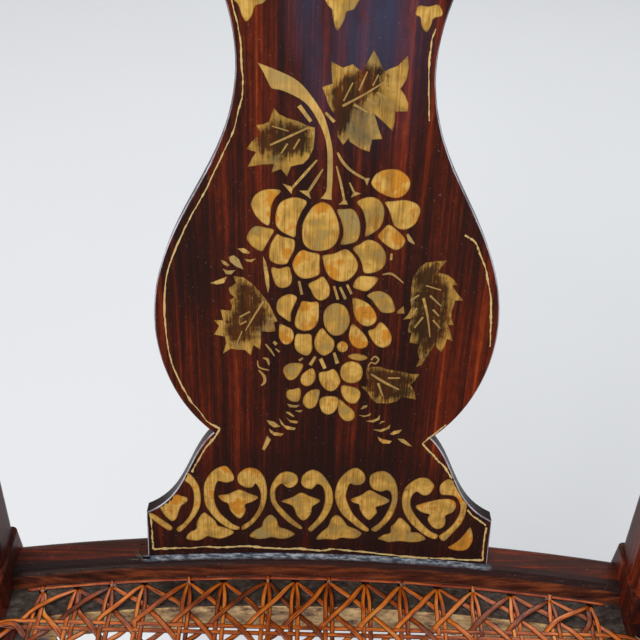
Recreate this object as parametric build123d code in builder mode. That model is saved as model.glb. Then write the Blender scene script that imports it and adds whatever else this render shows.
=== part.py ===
from build123d import *

import os
from math import atan2, cos, degrees, radians, sin, sqrt, tan

os.makedirs("parts", exist_ok=True)

# Painted side chair with a vase-shaped splat and a woven cane seat.
# Millimetres, +Z up, the sitter faces -Y. The origin is on the floor, below the middle of the chair's box.
# Seat places are given from the middle of the rear row of caning holes, at the level of the cane.

# Seat and cane
CANE_LEVEL = 440.0
HOLE_PITCH = 19.0
HOLE_RADIUS = 2.0
CROSS_PAIRS = 16
REAR_HOLES_HALF = 8
FRONT_HOLES_HALF = 11
STRAND_WIDTH = 2.6
STRAND_THICKNESS = 0.6
PAIR_SPACING = 3.4
BINDER_WIDTH = 2.0
BINDER_THICKNESS = 0.7
BINDER_GAP = 0.4
LOOP_WIDTH = 2.4
LOOP_THICKNESS = 0.5
PEG_LENGTH = 16.0
PEG_SUNK = 3.0
# The rear row was drilled by eye: how far each hole wanders along the rail, from left to right
REAR_WANDER = (0, -1.5, -3, -5, -1, -2, 2.5, -2, -3.5, -3, -3, -3, -3.5, -2.5, -1.5, 0)

# Seat rails: a flat rabbet that holds the caning holes, and a raised roll outside it
RAIL_INNER = 14.0
RAIL_BELOW = 24.0
ROLL_HEIGHT = 7.5
ROLL_FOOT = 3.0
ROLL_SLOPE = 3.8
ROLL_NOSE = 4.5
RAIL_ARRIS = 2.0
RABBET_ARRIS = 1.5
ROLL_ROOT = 0.6
HOLE_WALL = 4.0
REAR_RAIL_OUTER = 26.0
SIDE_RAIL_OUTER = 22.0
FRONT_RAIL_OUTER = 46.0
FRONT_RAIL_END = 9.0
FRONT_CORNER = 26.0

# Back: everything above the seat leans and is bowed in plan, its middle furthest back
BOW_RADIUS = 1050.0
LEAN = 12.0
SPLAT_SEAT_DEPTH = 12.5
SPLAT_THICKNESS = 7.0
SPLAT_TENON = 12.0
SPLAT_TONGUE = 10.0
SPLAT_EDGE = 0.9
MORTISE_GAP = 4.5

# Splat outline: half widths, and heights along the splat from the rear rail
PLINTH_FOOT_HALF = 90.0
PLINTH_TOP_HALF = 88.5
PLINTH_HEIGHT = 30.0
NOTCH_HALF = 53.0
NOTCH_HEIGHT = 81.0
BELLY_HALF = 77.0
BELLY_HEIGHT = 142.0
NECK_HALF = 38.6
NECK_HEIGHT = 258.0
HEAD_HALF = 60.0
HEAD_HEIGHT = 318.0

# Crest rail
CREST_PROUD = 5.0
CREST_THICKNESS = 18.0
CREST_HALF = 216.0
CREST_EAR = 46.0
CREST_RISE = 88.0
CREST_END_ROUND = 18.0
CREST_EAR_INSET = 12.0
CREST_SHOULDER_RISE = 14.0
CREST_CROWN_FALL = 11.0

# Rear posts
POST_WIDTH = 34.0
POST_DEPTH = 36.0
POST_GAP = 15.5
POST_PROUD = 2.0
POST_ARRIS = 3.0
POST_BLOCK_BELOW = 10.0
POST_BLOCK_ABOVE = 12.0
POST_TOP_WIDTH = 26.0
POST_TOP_DEPTH = 14.0
POST_TENON_WIDTH = 18.0
POST_TENON_DEPTH = 8.0
POST_TENON_LENGTH = 28.0
REAR_RAKE = 7.0
# How the stile thins: share of the way up it, share of the block's width, share of the block's depth
STILE_TAPER = ((0.02, 0.91, 0.86), (0.3, 0.85, 0.64), (0.65, 0.79, 0.47))

# Turned legs and stretchers
SOLE_RADIUS = 10.5
ANKLE_RADIUS = 10.0
LEG_RADIUS = 15.0
COLLAR_RADIUS = 13.5
NECK_RADIUS = 12.5
LEG_SETBACK = 20.0
LEG_TENON_RADIUS = 10.0
LEG_TENON_LENGTH = 19.0
LEG_SHOULDER = 18.0
CUP_HEIGHT = 28.0
CUP_LIP = 6.0
FOOT_HEIGHT = 28.0
REAR_RING_DROP = 76.0
COLLAR_HALF = 13.0
BEAD = 7.5
BEAD_SWELL = 3.5
STEP = 3.0
TAPER_SWELL = 1.5
BALL_SWELL = 5.0
# How far the long bodies of the front leg swell, as a share of their length
BARREL_SWELL = 0.17
VASE_SWELL = 0.076
STRETCHER_TENON_RADIUS = 6.0
STRETCHER_TENON_PAST = 4.0
STRETCHER_TENON_REACH = 20.0
STRETCHER_RADIUS = 8.5
STRETCHER_BEAD_SHARES = (0.18, 0.36)
STRETCHER_BALL_RADIUS = 11.0
STRETCHER_BALL_HALF = 16.0
STRETCHER_BALL_SWELL = 7.0
FRONT_LOWER_HEIGHT = 150.0
FRONT_UPPER_HEIGHT = 285.0
SIDE_LOWER_HEIGHT = 112.0
SIDE_UPPER_HEIGHT = 216.0
REAR_STRETCHER_HEIGHT = 170.0

# Rail joints: round tenons, each locked by a wooden pin
RAIL_TENON_RADIUS = 6.0
REAR_TENON_LENGTH = 12.0
SIDE_TENON_LENGTH = 16.0
RAIL_TENON_DROP = 11.0
PIN_RADIUS = 2.2
PIN_PROUD = 0.4
PIN_STOP = 3.0
TENON_WALL = 2.0
FIT = 0.1

# Worked out from the sizes above
SEAT_DEPTH = (CROSS_PAIRS + 2) * HOLE_PITCH
FIRST_CROSS = 1.5 * HOLE_PITCH
LAST_REAR_HOLE = (REAR_HOLES_HALF - 0.5) * HOLE_PITCH
FRONT_HALF = (FRONT_HOLES_HALF - 0.5) * HOLE_PITCH
POST_INNER = LAST_REAR_HOLE + POST_GAP
SIDE_REAR_HALF = POST_INNER + HOLE_RADIUS + HOLE_WALL
CREST_TOP = HEAD_HEIGHT + CREST_RISE
FRONT_REACH = SEAT_DEPTH + FRONT_RAIL_OUTER
BACK_REACH = (
    SPLAT_SEAT_DEPTH
    + CREST_TOP * sin(radians(LEAN))
    + (CREST_THICKNESS - CREST_PROUD) * cos(radians(LEAN))
)
SEAT_Y = (FRONT_REACH - BACK_REACH) / 2
RAIL_BOTTOM = CANE_LEVEL - RAIL_BELOW
OVER = 400.0


def seat(x, y, z):
    """A place given from the middle of the rear row of caning holes, at the cane's level."""
    return Vector(x, SEAT_Y + y, CANE_LEVEL + z)


def bow(x, outward=0.0):
    """How far back a bowed line lies at x, for a line outward of the one through the middle."""
    return sqrt((BOW_RADIUS + outward) ** 2 - x**2) - BOW_RADIUS


ALONG = Vector(0, sin(radians(LEAN)), cos(radians(LEAN)))
BACKWARD = Vector(0, cos(radians(LEAN)), -sin(radians(LEAN)))
SPLAT_FOOT = seat(0, SPLAT_SEAT_DEPTH, ROLL_HEIGHT)


def back_point(x, depth, height):
    """A place on the leaning back: depth behind the splat's face, height along the splat."""
    return SPLAT_FOOT + Vector(x, 0, 0) + BACKWARD * bow(x, depth) + ALONG * height


def back_plan(height):
    """The plane square to the splat at a height along it, its y axis towards the back."""
    return Plane(SPLAT_FOOT + ALONG * height, x_dir=(1, 0, 0), z_dir=ALONG)


back_face = Plane(SPLAT_FOOT, x_dir=(1, 0, 0), z_dir=-BACKWARD)
seat_plane = Plane(seat(0, 0, 0))
bow_axis = Axis(seat(0, -BOW_RADIUS, 0), (0, 0, -1))


def side_hole_line(y):
    """Half width of the seat at the side rows of caning holes."""
    spread = (FRONT_HALF - SIDE_REAR_HALF) / (SEAT_DEPTH - FIRST_CROSS)
    return SIDE_REAR_HALF + spread * (-FIRST_CROSS - y)


rear_steps = range(-REAR_HOLES_HALF, REAR_HOLES_HALF)
wander = [REAR_WANDER[(i + len(REAR_WANDER) // 2) % len(REAR_WANDER)] for i in rear_steps]
rear_hole_x = [(i + 0.5) * HOLE_PITCH + drift for i, drift in zip(rear_steps, wander)]
rear_holes = [(x, bow(x)) for x in rear_hole_x]
front_hole_x = [(i + 0.5) * HOLE_PITCH for i in range(-FRONT_HOLES_HALF, FRONT_HOLES_HALF)]
front_holes = [(x, -SEAT_DEPTH) for x in front_hole_x]
cross_y = [-FIRST_CROSS - i * HOLE_PITCH for i in range(CROSS_PAIRS)]
side_holes = [(side_hole_line(y), y) for y in cross_y]
hole_outline = [*rear_holes, side_holes[0], (FRONT_HALF, -SEAT_DEPTH)]
hole_outline += [(-FRONT_HALF, -SEAT_DEPTH), (-side_holes[0][0], side_holes[0][1])]

side_turn = atan2(FRONT_HALF - SIDE_REAR_HALF, SEAT_DEPTH - FIRST_CROSS)
side_forward = Vector(sin(side_turn), -cos(side_turn), 0)
side_outward = Vector(cos(side_turn), sin(side_turn), 0)
side_start = seat(*side_holes[0], 0)

post_back = bow(POST_INNER, REAR_RAIL_OUTER) + POST_PROUD
post_front = post_back - POST_DEPTH
post_x = POST_INNER + POST_WIDTH / 2
post_y = post_back - POST_DEPTH / 2
block_bottom = -RAIL_BELOW - POST_BLOCK_BELOW
block_top = ROLL_HEIGHT + POST_BLOCK_ABOVE
rear_tenon_y = bow(POST_INNER) + (REAR_RAIL_OUTER - RAIL_INNER) / 2
side_tenon_rear_x = POST_INNER + REAR_TENON_LENGTH + RAIL_TENON_RADIUS + TENON_WALL
side_tenon_front_x = FRONT_HALF + HOLE_RADIUS + RAIL_TENON_RADIUS + TENON_WALL
front_inner_y = -SEAT_DEPTH + RAIL_INNER
front_leg_foot = Vector(FRONT_HALF, SEAT_Y - SEAT_DEPTH - LEG_SETBACK, 0)
rear_leg_up = Vector(0, -sin(radians(REAR_RAKE)), cos(radians(REAR_RAKE)))
rear_leg_drop = CANE_LEVEL + block_bottom
rear_leg_length = rear_leg_drop / cos(radians(REAR_RAKE))
rear_leg_foot = Vector(post_x, SEAT_Y + post_y + rear_leg_drop * tan(radians(REAR_RAKE)), 0)


def rail_section(plane, outer, top_round, bottom_round):
    """Section of a seat rail: x runs outward from the hole line, y up from the cane's level."""
    with BuildSketch(plane) as section:
        with BuildLine():
            FilletPolyline(
                (-RAIL_INNER, -RAIL_BELOW),
                (-RAIL_INNER, 0),
                (ROLL_FOOT, 0),
                (ROLL_FOOT + ROLL_SLOPE, ROLL_HEIGHT),
                (outer, ROLL_HEIGHT),
                (outer, -RAIL_BELOW),
                radius=[RAIL_ARRIS, RABBET_ARRIS, ROLL_ROOT, ROLL_NOSE, top_round, bottom_round],
                close=True,
            )
        make_face()
    return section.sketch


def bowed_board(front, thickness, bottom, top, left, right):
    """A board that follows the bow of the back, between two heights along the splat."""
    with BuildPart() as board:
        with BuildSketch(back_plan(bottom)):
            with BuildLine():
                face = ThreePointArc(
                    (left, bow(left, front)),
                    ((left + right) / 2, bow((left + right) / 2, front)),
                    (right, bow(right, front)),
                )
                rear = ThreePointArc(
                    (left, bow(left, front + thickness)),
                    ((left + right) / 2, bow((left + right) / 2, front + thickness)),
                    (right, bow(right, front + thickness)),
                )
                Line(face @ 0, rear @ 0)
                Line(face @ 1, rear @ 1)
            make_face()
        extrude(amount=top - bottom)
    return board.part


def sawn_edges(board, low, high):
    """Edges round the front face of a bowed board, between two heights along the splat."""
    face = board.faces().filter_by(GeomType.CYLINDER).sort_by(SortBy.AREA)[-2:].sort_by(Axis.Y)[0]
    return [edge for edge in face.edges() if low < (edge.center() - SPLAT_FOOT).dot(ALONG) < high]


def turning(foot, axis, side, steps):
    """A turned piece about an axis. Each step is a distance, a radius, and how far its side bulges."""
    with BuildPart() as turned:
        with BuildSketch(Plane(foot, x_dir=axis, z_dir=side)):
            with BuildLine():
                at = Vector(steps[0][0], steps[0][1])
                Line((steps[0][0], 0), at)
                for distance, radius, bulge in steps[1:]:
                    end = Vector(distance, radius)
                    if bulge:
                        square = Vector(at.Y - end.Y, end.X - at.X).normalized()
                        ThreePointArc(at, (at + end) / 2 + square * bulge, end)
                    else:
                        Line(at, end)
                    at = end
                Line(at, (at.X, 0))
                Line((at.X, 0), (steps[0][0], 0))
            make_face()
        revolve(axis=Axis(foot, axis))
    return turned.part


def two_ended(half, length, middle_bulge):
    """Steps of a turning whose second half mirrors its first."""
    back = [(length - half[-1][0], half[-1][1], middle_bulge)]
    for nearer, farther in zip(reversed(half[:-1]), reversed(half)):
        back.append((length - nearer[0], nearer[1], farther[2]))
    return [*half, *back]


def bead(start, radius, neck):
    """Steps of a ring that starts at a distance, and of the slope down to the neck after it."""
    return [(start + BEAD, radius, BEAD_SWELL), (start + BEAD + STEP, neck, 0)]


def foot_steps(start):
    """Ball foot, ring and ankle that end every leg."""
    ring = FOOT_HEIGHT + STEP
    ball = [(start, SOLE_RADIUS, 0), (FOOT_HEIGHT, ANKLE_RADIUS, BALL_SWELL), (ring, ANKLE_RADIUS, 0)]
    return [*ball, *bead(ring, ANKLE_RADIUS, ANKLE_RADIUS)]


def stretcher_tenon():
    """Plain tenon that starts a stretcher, just past the middle of its leg."""
    start = (-STRETCHER_TENON_PAST, STRETCHER_TENON_RADIUS, 0)
    return [start, (STRETCHER_TENON_REACH, STRETCHER_TENON_RADIUS, 0)]


def between(start, end, across, up):
    """A point a share of the way across and up from one outline point to another."""
    return (start[0] + (end[0] - start[0]) * across, start[1] + (end[1] - start[1]) * up)


def front_leg_axis(height):
    return front_leg_foot + Vector(0, 0, height)


def rear_leg_axis(height):
    return rear_leg_foot + rear_leg_up * (height / rear_leg_up.Z)


def mirrored_x(point):
    return Vector(-point.X, point.Y, point.Z)


def bore(start, end, radius):
    """Cuts a round mortise from just past one place towards another."""
    past = STRETCHER_TENON_PAST + FIT
    direction = (end - start).normalized()
    with Locations(Plane(start - direction * past, z_dir=direction)):
        Cylinder(
            radius,
            past + POST_WIDTH,
            align=(Align.CENTER, Align.CENTER, Align.MIN),
            mode=Mode.SUBTRACT,
        )


def round_bar(start, end, radius, mode=Mode.ADD):
    """A round bar between two places."""
    with Locations(Plane(start, z_dir=end - start)):
        Cylinder(
            radius,
            (end - start).length,
            align=(Align.CENTER, Align.CENTER, Align.MIN),
            mode=mode,
        )


def keep(piece, name):
    """Labels a finished piece and writes it."""
    piece.part.label = name
    export_step(piece.part, f"parts/{name}.step")


def keep_pair(piece, name):
    """Writes a right-hand piece and its mirrored left-hand twin."""
    keep(piece, f"{name}_right")
    with BuildPart() as twin:
        mirror(piece.part, about=Plane.YZ)
    keep(twin, f"{name}_left")


# Where each joint's pins and tenons run, for the right-hand side
rear_tenon = (
    seat(POST_INNER - REAR_TENON_LENGTH, rear_tenon_y, -RAIL_TENON_DROP),
    seat(POST_INNER + REAR_TENON_LENGTH, rear_tenon_y, -RAIL_TENON_DROP),
)
side_tenon_rear = (
    seat(side_tenon_rear_x, post_front - SIDE_TENON_LENGTH, -RAIL_TENON_DROP),
    seat(side_tenon_rear_x, post_front + SIDE_TENON_LENGTH, -RAIL_TENON_DROP),
)
side_tenon_front = (
    seat(side_tenon_front_x, front_inner_y + SIDE_TENON_LENGTH, -RAIL_TENON_DROP),
    seat(side_tenon_front_x, front_inner_y - SIDE_TENON_LENGTH, -RAIL_TENON_DROP),
)
rear_rail_pin = (
    seat(POST_INNER + REAR_TENON_LENGTH / 2, post_back + PIN_PROUD, -RAIL_TENON_DROP),
    seat(
        POST_INNER + REAR_TENON_LENGTH / 2,
        rear_tenon_y - RAIL_TENON_RADIUS - TENON_WALL,
        -RAIL_TENON_DROP,
    ),
)
side_pin_y = post_front + SIDE_TENON_LENGTH / 2
side_rail_pin = (
    seat(POST_INNER + POST_WIDTH + PIN_PROUD, side_pin_y, -RAIL_TENON_DROP),
    seat(POST_INNER + REAR_TENON_LENGTH + TENON_WALL / 2, side_pin_y, -RAIL_TENON_DROP),
)
crest_pin_height = HEAD_HEIGHT + POST_TENON_LENGTH / 2
crest_back = CREST_THICKNESS - CREST_PROUD
crest_pin = (
    back_point(post_x, crest_back + PIN_PROUD, crest_pin_height),
    back_point(post_x, crest_back + PIN_PROUD, crest_pin_height) - BACKWARD * (CREST_THICKNESS - PIN_STOP),
)


# Rear rail: the rail's section swept round the bow, with a mortise for the splat
with BuildPart() as rear_rail:
    swing = degrees(atan2(POST_INNER + RAIL_INNER, BOW_RADIUS - REAR_RAIL_OUTER))
    start = radians(-swing)
    outward = Vector(sin(start), cos(start), 0)
    section_plane = Plane(
        seat(0, -BOW_RADIUS, 0) + outward * BOW_RADIUS,
        x_dir=outward,
        z_dir=(cos(start), -sin(start), 0),
    )
    revolve(rail_section(section_plane, REAR_RAIL_OUTER, 6, 4), axis=bow_axis, revolution_arc=2 * swing)
    Box(2 * POST_INNER, OVER * 2, OVER * 3, mode=Mode.INTERSECT)
    add(
        bowed_board(
            -FIT,
            SPLAT_THICKNESS + 2 * FIT,
            -SPLAT_TENON,
            SPLAT_TENON,
            -PLINTH_FOOT_HALF - MORTISE_GAP,
            PLINTH_FOOT_HALF + FIT,
        ),
        mode=Mode.SUBTRACT,
    )
    with Locations(*[seat(x, y, 0) for x, y in rear_holes]):
        Hole(HOLE_RADIUS)
    for side in (Vector, mirrored_x):
        round_bar(side(rear_tenon[0]), side(rear_tenon[1]), RAIL_TENON_RADIUS)
        round_bar(side(rear_rail_pin[0]), side(rear_rail_pin[1]), PIN_RADIUS, Mode.SUBTRACT)
keep(rear_rail, "rear_rail")

# Side rails: the same section run forward along the splayed row of holes, notched round the rear rail
with BuildPart() as side_rail:
    side_plane = Plane(side_start - side_forward * OVER, x_dir=side_outward, z_dir=side_forward)
    extrude(rail_section(side_plane, SIDE_RAIL_OUTER, 9, 6), amount=2 * OVER)
    length = post_front - front_inner_y
    with Locations(seat(0, front_inner_y + length / 2, 0)):
        Box(2 * OVER, length, OVER, mode=Mode.INTERSECT)
    notch_depth = post_front - bow(POST_INNER, -RAIL_INNER) + FIT
    with Locations(seat(POST_INNER + FIT, post_front, 0)):
        Box(
            POST_WIDTH,
            2 * notch_depth,
            OVER,
            align=(Align.MAX, Align.CENTER, Align.CENTER),
            mode=Mode.SUBTRACT,
        )
    with Locations(*[seat(x, y, 0) for x, y in side_holes]):
        Hole(HOLE_RADIUS)
    round_bar(*side_tenon_rear, RAIL_TENON_RADIUS)
    round_bar(*side_tenon_front, RAIL_TENON_RADIUS)
    round_bar(*side_rail_pin, PIN_RADIUS, Mode.SUBTRACT)
keep_pair(side_rail, "side_rail")

# Front rail: a thick rolled edge, its front corners rounded in plan
with BuildPart() as front_rail:
    front_half = side_hole_line(-SEAT_DEPTH) + SIDE_RAIL_OUTER + FRONT_RAIL_END
    front_plane = Plane(seat(0, -SEAT_DEPTH, 0), x_dir=(0, -1, 0), z_dir=(-1, 0, 0))
    extrude(rail_section(front_plane, FRONT_RAIL_OUTER, 15, 8), amount=front_half, both=True)
    with BuildSketch(Plane(seat(0, -FRONT_REACH, 0))):
        RectangleRounded(2 * front_half, OVER, FRONT_CORNER, align=(Align.CENTER, Align.MIN))
    extrude(amount=OVER, both=True, mode=Mode.INTERSECT)
    with Locations(*[seat(x, y, 0) for x, y in front_holes]):
        Hole(HOLE_RADIUS)
    for side in (Vector, mirrored_x):
        tenon_ends = [side(end) for end in side_tenon_front]
        round_bar(*tenon_ends, RAIL_TENON_RADIUS + FIT, Mode.SUBTRACT)
        leg_mortise = side(front_leg_axis(RAIL_BOTTOM + LEG_TENON_LENGTH + FIT))
        round_bar(side(front_leg_axis(0)), leg_mortise, LEG_TENON_RADIUS + FIT, Mode.SUBTRACT)
keep(front_rail, "front_rail")

# Rear posts: a turned leg raked back, a squared block at the seat, and a flattened stile above
with BuildPart() as rear_post:
    steps = foot_steps(-SOLE_RADIUS)
    ring = rear_leg_length - REAR_RING_DROP
    steps += [(ring, LEG_RADIUS, TAPER_SWELL), *bead(ring, LEG_RADIUS, LEG_RADIUS)]
    ring = rear_leg_length - BEAD - STEP
    steps += [(ring, LEG_RADIUS, TAPER_SWELL), *bead(ring, LEG_RADIUS, LEG_RADIUS)]
    steps += [(rear_leg_length + POST_BLOCK_BELOW, LEG_RADIUS, 0)]
    add(turning(rear_leg_foot, rear_leg_up, (1, 0, 0), steps))
    split(bisect_by=Plane.XY, keep=Keep.TOP)
    with BuildSketch(Plane(seat(post_x, post_y, block_bottom))):
        RectangleRounded(POST_WIDTH, POST_DEPTH, POST_ARRIS)
    extrude(amount=block_top - block_bottom)
    shoulder = back_point(post_x, crest_back - CREST_THICKNESS / 2, HEAD_HEIGHT)
    block_middle = seat(post_x, post_y, 0)
    stile = shoulder - block_middle
    crest_turn = degrees(atan2(post_x, BOW_RADIUS))
    for share, width_share, depth_share in STILE_TAPER:
        plane = Plane(block_middle + stile * share, x_dir=(1, 0, 0), z_dir=stile)
        with BuildSketch(plane.rotated((0, 0, -crest_turn * share))):
            depth = POST_DEPTH * depth_share
            RectangleRounded(POST_WIDTH * width_share, depth, depth / 4)
    with BuildSketch(Plane(shoulder, x_dir=(1, 0, 0), z_dir=ALONG).rotated((0, 0, -crest_turn))):
        RectangleRounded(POST_TOP_WIDTH, POST_TOP_DEPTH, POST_TOP_DEPTH / 4)
    loft()
    split(bisect_by=Plane(shoulder, x_dir=(1, 0, 0), z_dir=ALONG), keep=Keep.BOTTOM)
    with BuildSketch(Plane(shoulder, x_dir=(1, 0, 0), z_dir=ALONG).rotated((0, 0, -crest_turn))):
        Rectangle(POST_TENON_WIDTH, POST_TENON_DEPTH)
    extrude(amount=POST_TENON_LENGTH)
    round_bar(*rear_tenon, RAIL_TENON_RADIUS + FIT, Mode.SUBTRACT)
    round_bar(*side_tenon_rear, RAIL_TENON_RADIUS + FIT, Mode.SUBTRACT)
    round_bar(*rear_rail_pin, PIN_RADIUS, Mode.SUBTRACT)
    round_bar(*side_rail_pin, PIN_RADIUS, Mode.SUBTRACT)
    round_bar(*crest_pin, PIN_RADIUS, Mode.SUBTRACT)
    for height in (SIDE_LOWER_HEIGHT, SIDE_UPPER_HEIGHT):
        bore(rear_leg_axis(height), front_leg_axis(height), STRETCHER_TENON_RADIUS + FIT)
    height = REAR_STRETCHER_HEIGHT
    bore(rear_leg_axis(height), mirrored_x(rear_leg_axis(height)), STRETCHER_TENON_RADIUS + FIT)
keep_pair(rear_post, "rear_post")

# Splat: a thin bowed board sawn to a vase outline, tenoned into the rear rail and the crest rail
with BuildPart() as splat:
    with BuildSketch(back_face):
        with BuildLine():
            foot = (PLINTH_FOOT_HALF, 0)
            corner = (PLINTH_TOP_HALF, PLINTH_HEIGHT)
            notch = (NOTCH_HALF, NOTCH_HEIGHT)
            head = (HEAD_HALF, HEAD_HEIGHT)
            belly = (BELLY_HALF, BELLY_HEIGHT)
            neck = (NECK_HALF, NECK_HEIGHT)
            tongue = HEAD_HEIGHT + SPLAT_TONGUE
            Polyline((0, -SPLAT_TENON), (PLINTH_FOOT_HALF, -SPLAT_TENON), foot, corner)
            Spline(corner, between(corner, notch, 0.42, 0.26), between(corner, notch, 0.63, 0.55), notch)
            Spline(
                notch,
                between(notch, belly, 0.52, 0.27),
                between(notch, belly, 0.89, 0.65),
                belly,
                between(belly, neck, 0.09, 0.23),
                between(belly, neck, 0.385, 0.47),
                between(belly, neck, 0.75, 0.695),
                neck,
                between(neck, head, 0.17, 0.45),
                head,
            )
            Polyline(head, (HEAD_HALF, tongue), (0, tongue))
            mirror(about=Plane.YZ)
        make_face()
    extrude(amount=OVER, both=True)
    board_half = PLINTH_FOOT_HALF + PLINTH_HEIGHT
    add(
        bowed_board(0, SPLAT_THICKNESS, -OVER, HEAD_HEIGHT + OVER, -board_half, board_half),
        mode=Mode.INTERSECT,
    )
    fillet(sawn_edges(splat, 1, HEAD_HEIGHT), SPLAT_EDGE)
keep(splat, "splat")

# Crest rail: a bowed tablet with an arched top and rounded ears
with BuildPart() as crest_rail:
    with BuildSketch(back_face):
        with BuildLine():
            crest_foot = (CREST_HALF - CREST_END_ROUND, HEAD_HEIGHT)
            ear_top = (CREST_HALF - CREST_EAR_INSET, HEAD_HEIGHT + CREST_EAR)
            Line((0, HEAD_HEIGHT), crest_foot)
            ThreePointArc(crest_foot, (CREST_HALF, HEAD_HEIGHT + CREST_EAR / 2), ear_top)
            Spline(
                ear_top,
                (CREST_HALF * 0.62, ear_top[1] + CREST_SHOULDER_RISE),
                (CREST_HALF * 0.3, CREST_TOP - CREST_CROWN_FALL),
                (0, CREST_TOP),
                tangents=[(-1, 0.35), (-1, 0)],
            )
            mirror(about=Plane.YZ)
        make_face()
    extrude(amount=OVER, both=True)
    board_half = CREST_HALF + CREST_THICKNESS
    add(
        bowed_board(-CREST_PROUD, CREST_THICKNESS, 0, CREST_TOP + OVER, -board_half, board_half),
        mode=Mode.INTERSECT,
    )
    tongue_half = HEAD_HALF + FIT
    add(
        bowed_board(
            -FIT,
            SPLAT_THICKNESS + 2 * FIT,
            HEAD_HEIGHT,
            HEAD_HEIGHT + SPLAT_TONGUE + FIT,
            -tongue_half,
            tongue_half,
        ),
        mode=Mode.SUBTRACT,
    )
    for side in (1, -1):
        tenon_plane = Plane(
            back_point(side * post_x, crest_back - CREST_THICKNESS / 2, HEAD_HEIGHT),
            x_dir=(1, 0, 0),
            z_dir=ALONG,
        )
        with BuildSketch(tenon_plane.rotated((0, 0, -side * crest_turn))):
            Rectangle(POST_TENON_WIDTH + 2 * FIT, POST_TENON_DEPTH + 2 * FIT)
        extrude(amount=POST_TENON_LENGTH + FIT, mode=Mode.SUBTRACT)
    for side in (Vector, mirrored_x):
        round_bar(side(crest_pin[0]), side(crest_pin[1]), PIN_RADIUS, Mode.SUBTRACT)
keep(crest_rail, "crest_rail")

# Front legs: ball foot, long taper, rings either side of the stretchers, and a vase below the rail
with BuildPart() as front_leg:
    steps = foot_steps(0)
    ring = SIDE_UPPER_HEIGHT - COLLAR_HALF - STEP - BEAD
    steps += [(ring, LEG_RADIUS, TAPER_SWELL), *bead(ring, LEG_RADIUS, COLLAR_RADIUS)]
    ring = SIDE_UPPER_HEIGHT + COLLAR_HALF
    steps += [(ring, COLLAR_RADIUS, 0), *bead(ring, COLLAR_RADIUS, NECK_RADIUS)]
    collar = FRONT_UPPER_HEIGHT - COLLAR_HALF
    swell = BARREL_SWELL * (collar - STEP - steps[-1][0])
    steps += [(collar - STEP, COLLAR_RADIUS, swell), (collar, COLLAR_RADIUS, 0)]
    ring = FRONT_UPPER_HEIGHT + COLLAR_HALF
    steps += [(ring, COLLAR_RADIUS, 0), *bead(ring, COLLAR_RADIUS, NECK_RADIUS)]
    ring = RAIL_BOTTOM - CUP_HEIGHT - STEP - BEAD
    swell = VASE_SWELL * (ring - STEP - steps[-1][0])
    steps += [(ring - STEP, LEG_RADIUS, swell), (ring, NECK_RADIUS, 0)]
    steps += bead(ring, NECK_RADIUS, NECK_RADIUS)
    steps += [(RAIL_BOTTOM - CUP_LIP, LEG_SHOULDER, -STEP), (RAIL_BOTTOM, LEG_SHOULDER, 1)]
    steps += [(RAIL_BOTTOM, LEG_TENON_RADIUS, 0)]
    steps += [(RAIL_BOTTOM + LEG_TENON_LENGTH, LEG_TENON_RADIUS, 0)]
    add(turning(front_leg_foot, Vector(0, 0, 1), (1, 0, 0), steps))
    for height in (SIDE_LOWER_HEIGHT, SIDE_UPPER_HEIGHT):
        bore(front_leg_axis(height), rear_leg_axis(height), STRETCHER_TENON_RADIUS + FIT)
    for height in (FRONT_LOWER_HEIGHT, FRONT_UPPER_HEIGHT):
        bore(front_leg_axis(height), mirrored_x(front_leg_axis(height)), STRETCHER_TENON_RADIUS + FIT)
keep_pair(front_leg, "front_leg")


def stretcher(start, end, half, middle_bulge):
    """A turned stretcher between two leg axes."""
    length = (end - start).length
    return turning(start, (end - start).normalized(), (0, 0, 1), two_ended(half, length, middle_bulge))


# Front stretchers: the upper with beads and a middle ball, the lower a plain swelled rail
front_span = 2 * front_leg_foot.X
with BuildPart() as front_stretcher_upper:
    half = stretcher_tenon()
    for share in STRETCHER_BEAD_SHARES:
        ring = front_span * share
        half += [(ring, STRETCHER_RADIUS, TAPER_SWELL), *bead(ring, STRETCHER_RADIUS, STRETCHER_RADIUS)]
    ball = front_span / 2 - STRETCHER_BALL_HALF
    half += [(ball - STEP, STRETCHER_RADIUS, TAPER_SWELL), (ball, STRETCHER_BALL_RADIUS, 0)]
    upper_start = mirrored_x(front_leg_axis(FRONT_UPPER_HEIGHT))
    add(stretcher(upper_start, front_leg_axis(FRONT_UPPER_HEIGHT), half, STRETCHER_BALL_SWELL))
keep(front_stretcher_upper, "front_stretcher_upper")

with BuildPart() as front_stretcher_lower:
    half = [*stretcher_tenon(), (front_span / 2 - STEP, STRETCHER_RADIUS, TAPER_SWELL)]
    lower_start = mirrored_x(front_leg_axis(FRONT_LOWER_HEIGHT))
    add(stretcher(lower_start, front_leg_axis(FRONT_LOWER_HEIGHT), half, 0))
keep(front_stretcher_lower, "front_stretcher_lower")

# Side and rear stretchers: plain swelled rails
side_stretchers = {"side_stretcher_upper": SIDE_UPPER_HEIGHT, "side_stretcher_lower": SIDE_LOWER_HEIGHT}
for name, height in side_stretchers.items():
    with BuildPart() as side_stretcher:
        span = (rear_leg_axis(height) - front_leg_axis(height)).length
        half = [*stretcher_tenon(), (span / 2 - STEP, STRETCHER_RADIUS, TAPER_SWELL)]
        add(stretcher(front_leg_axis(height), rear_leg_axis(height), half, 0))
    keep_pair(side_stretcher, name)

with BuildPart() as rear_stretcher:
    rear_start = mirrored_x(rear_leg_axis(REAR_STRETCHER_HEIGHT))
    half = [*stretcher_tenon(), (post_x - STEP, STRETCHER_RADIUS, TAPER_SWELL)]
    add(stretcher(rear_start, rear_leg_axis(REAR_STRETCHER_HEIGHT), half, 0))
keep(rear_stretcher, "rear_stretcher")

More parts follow.
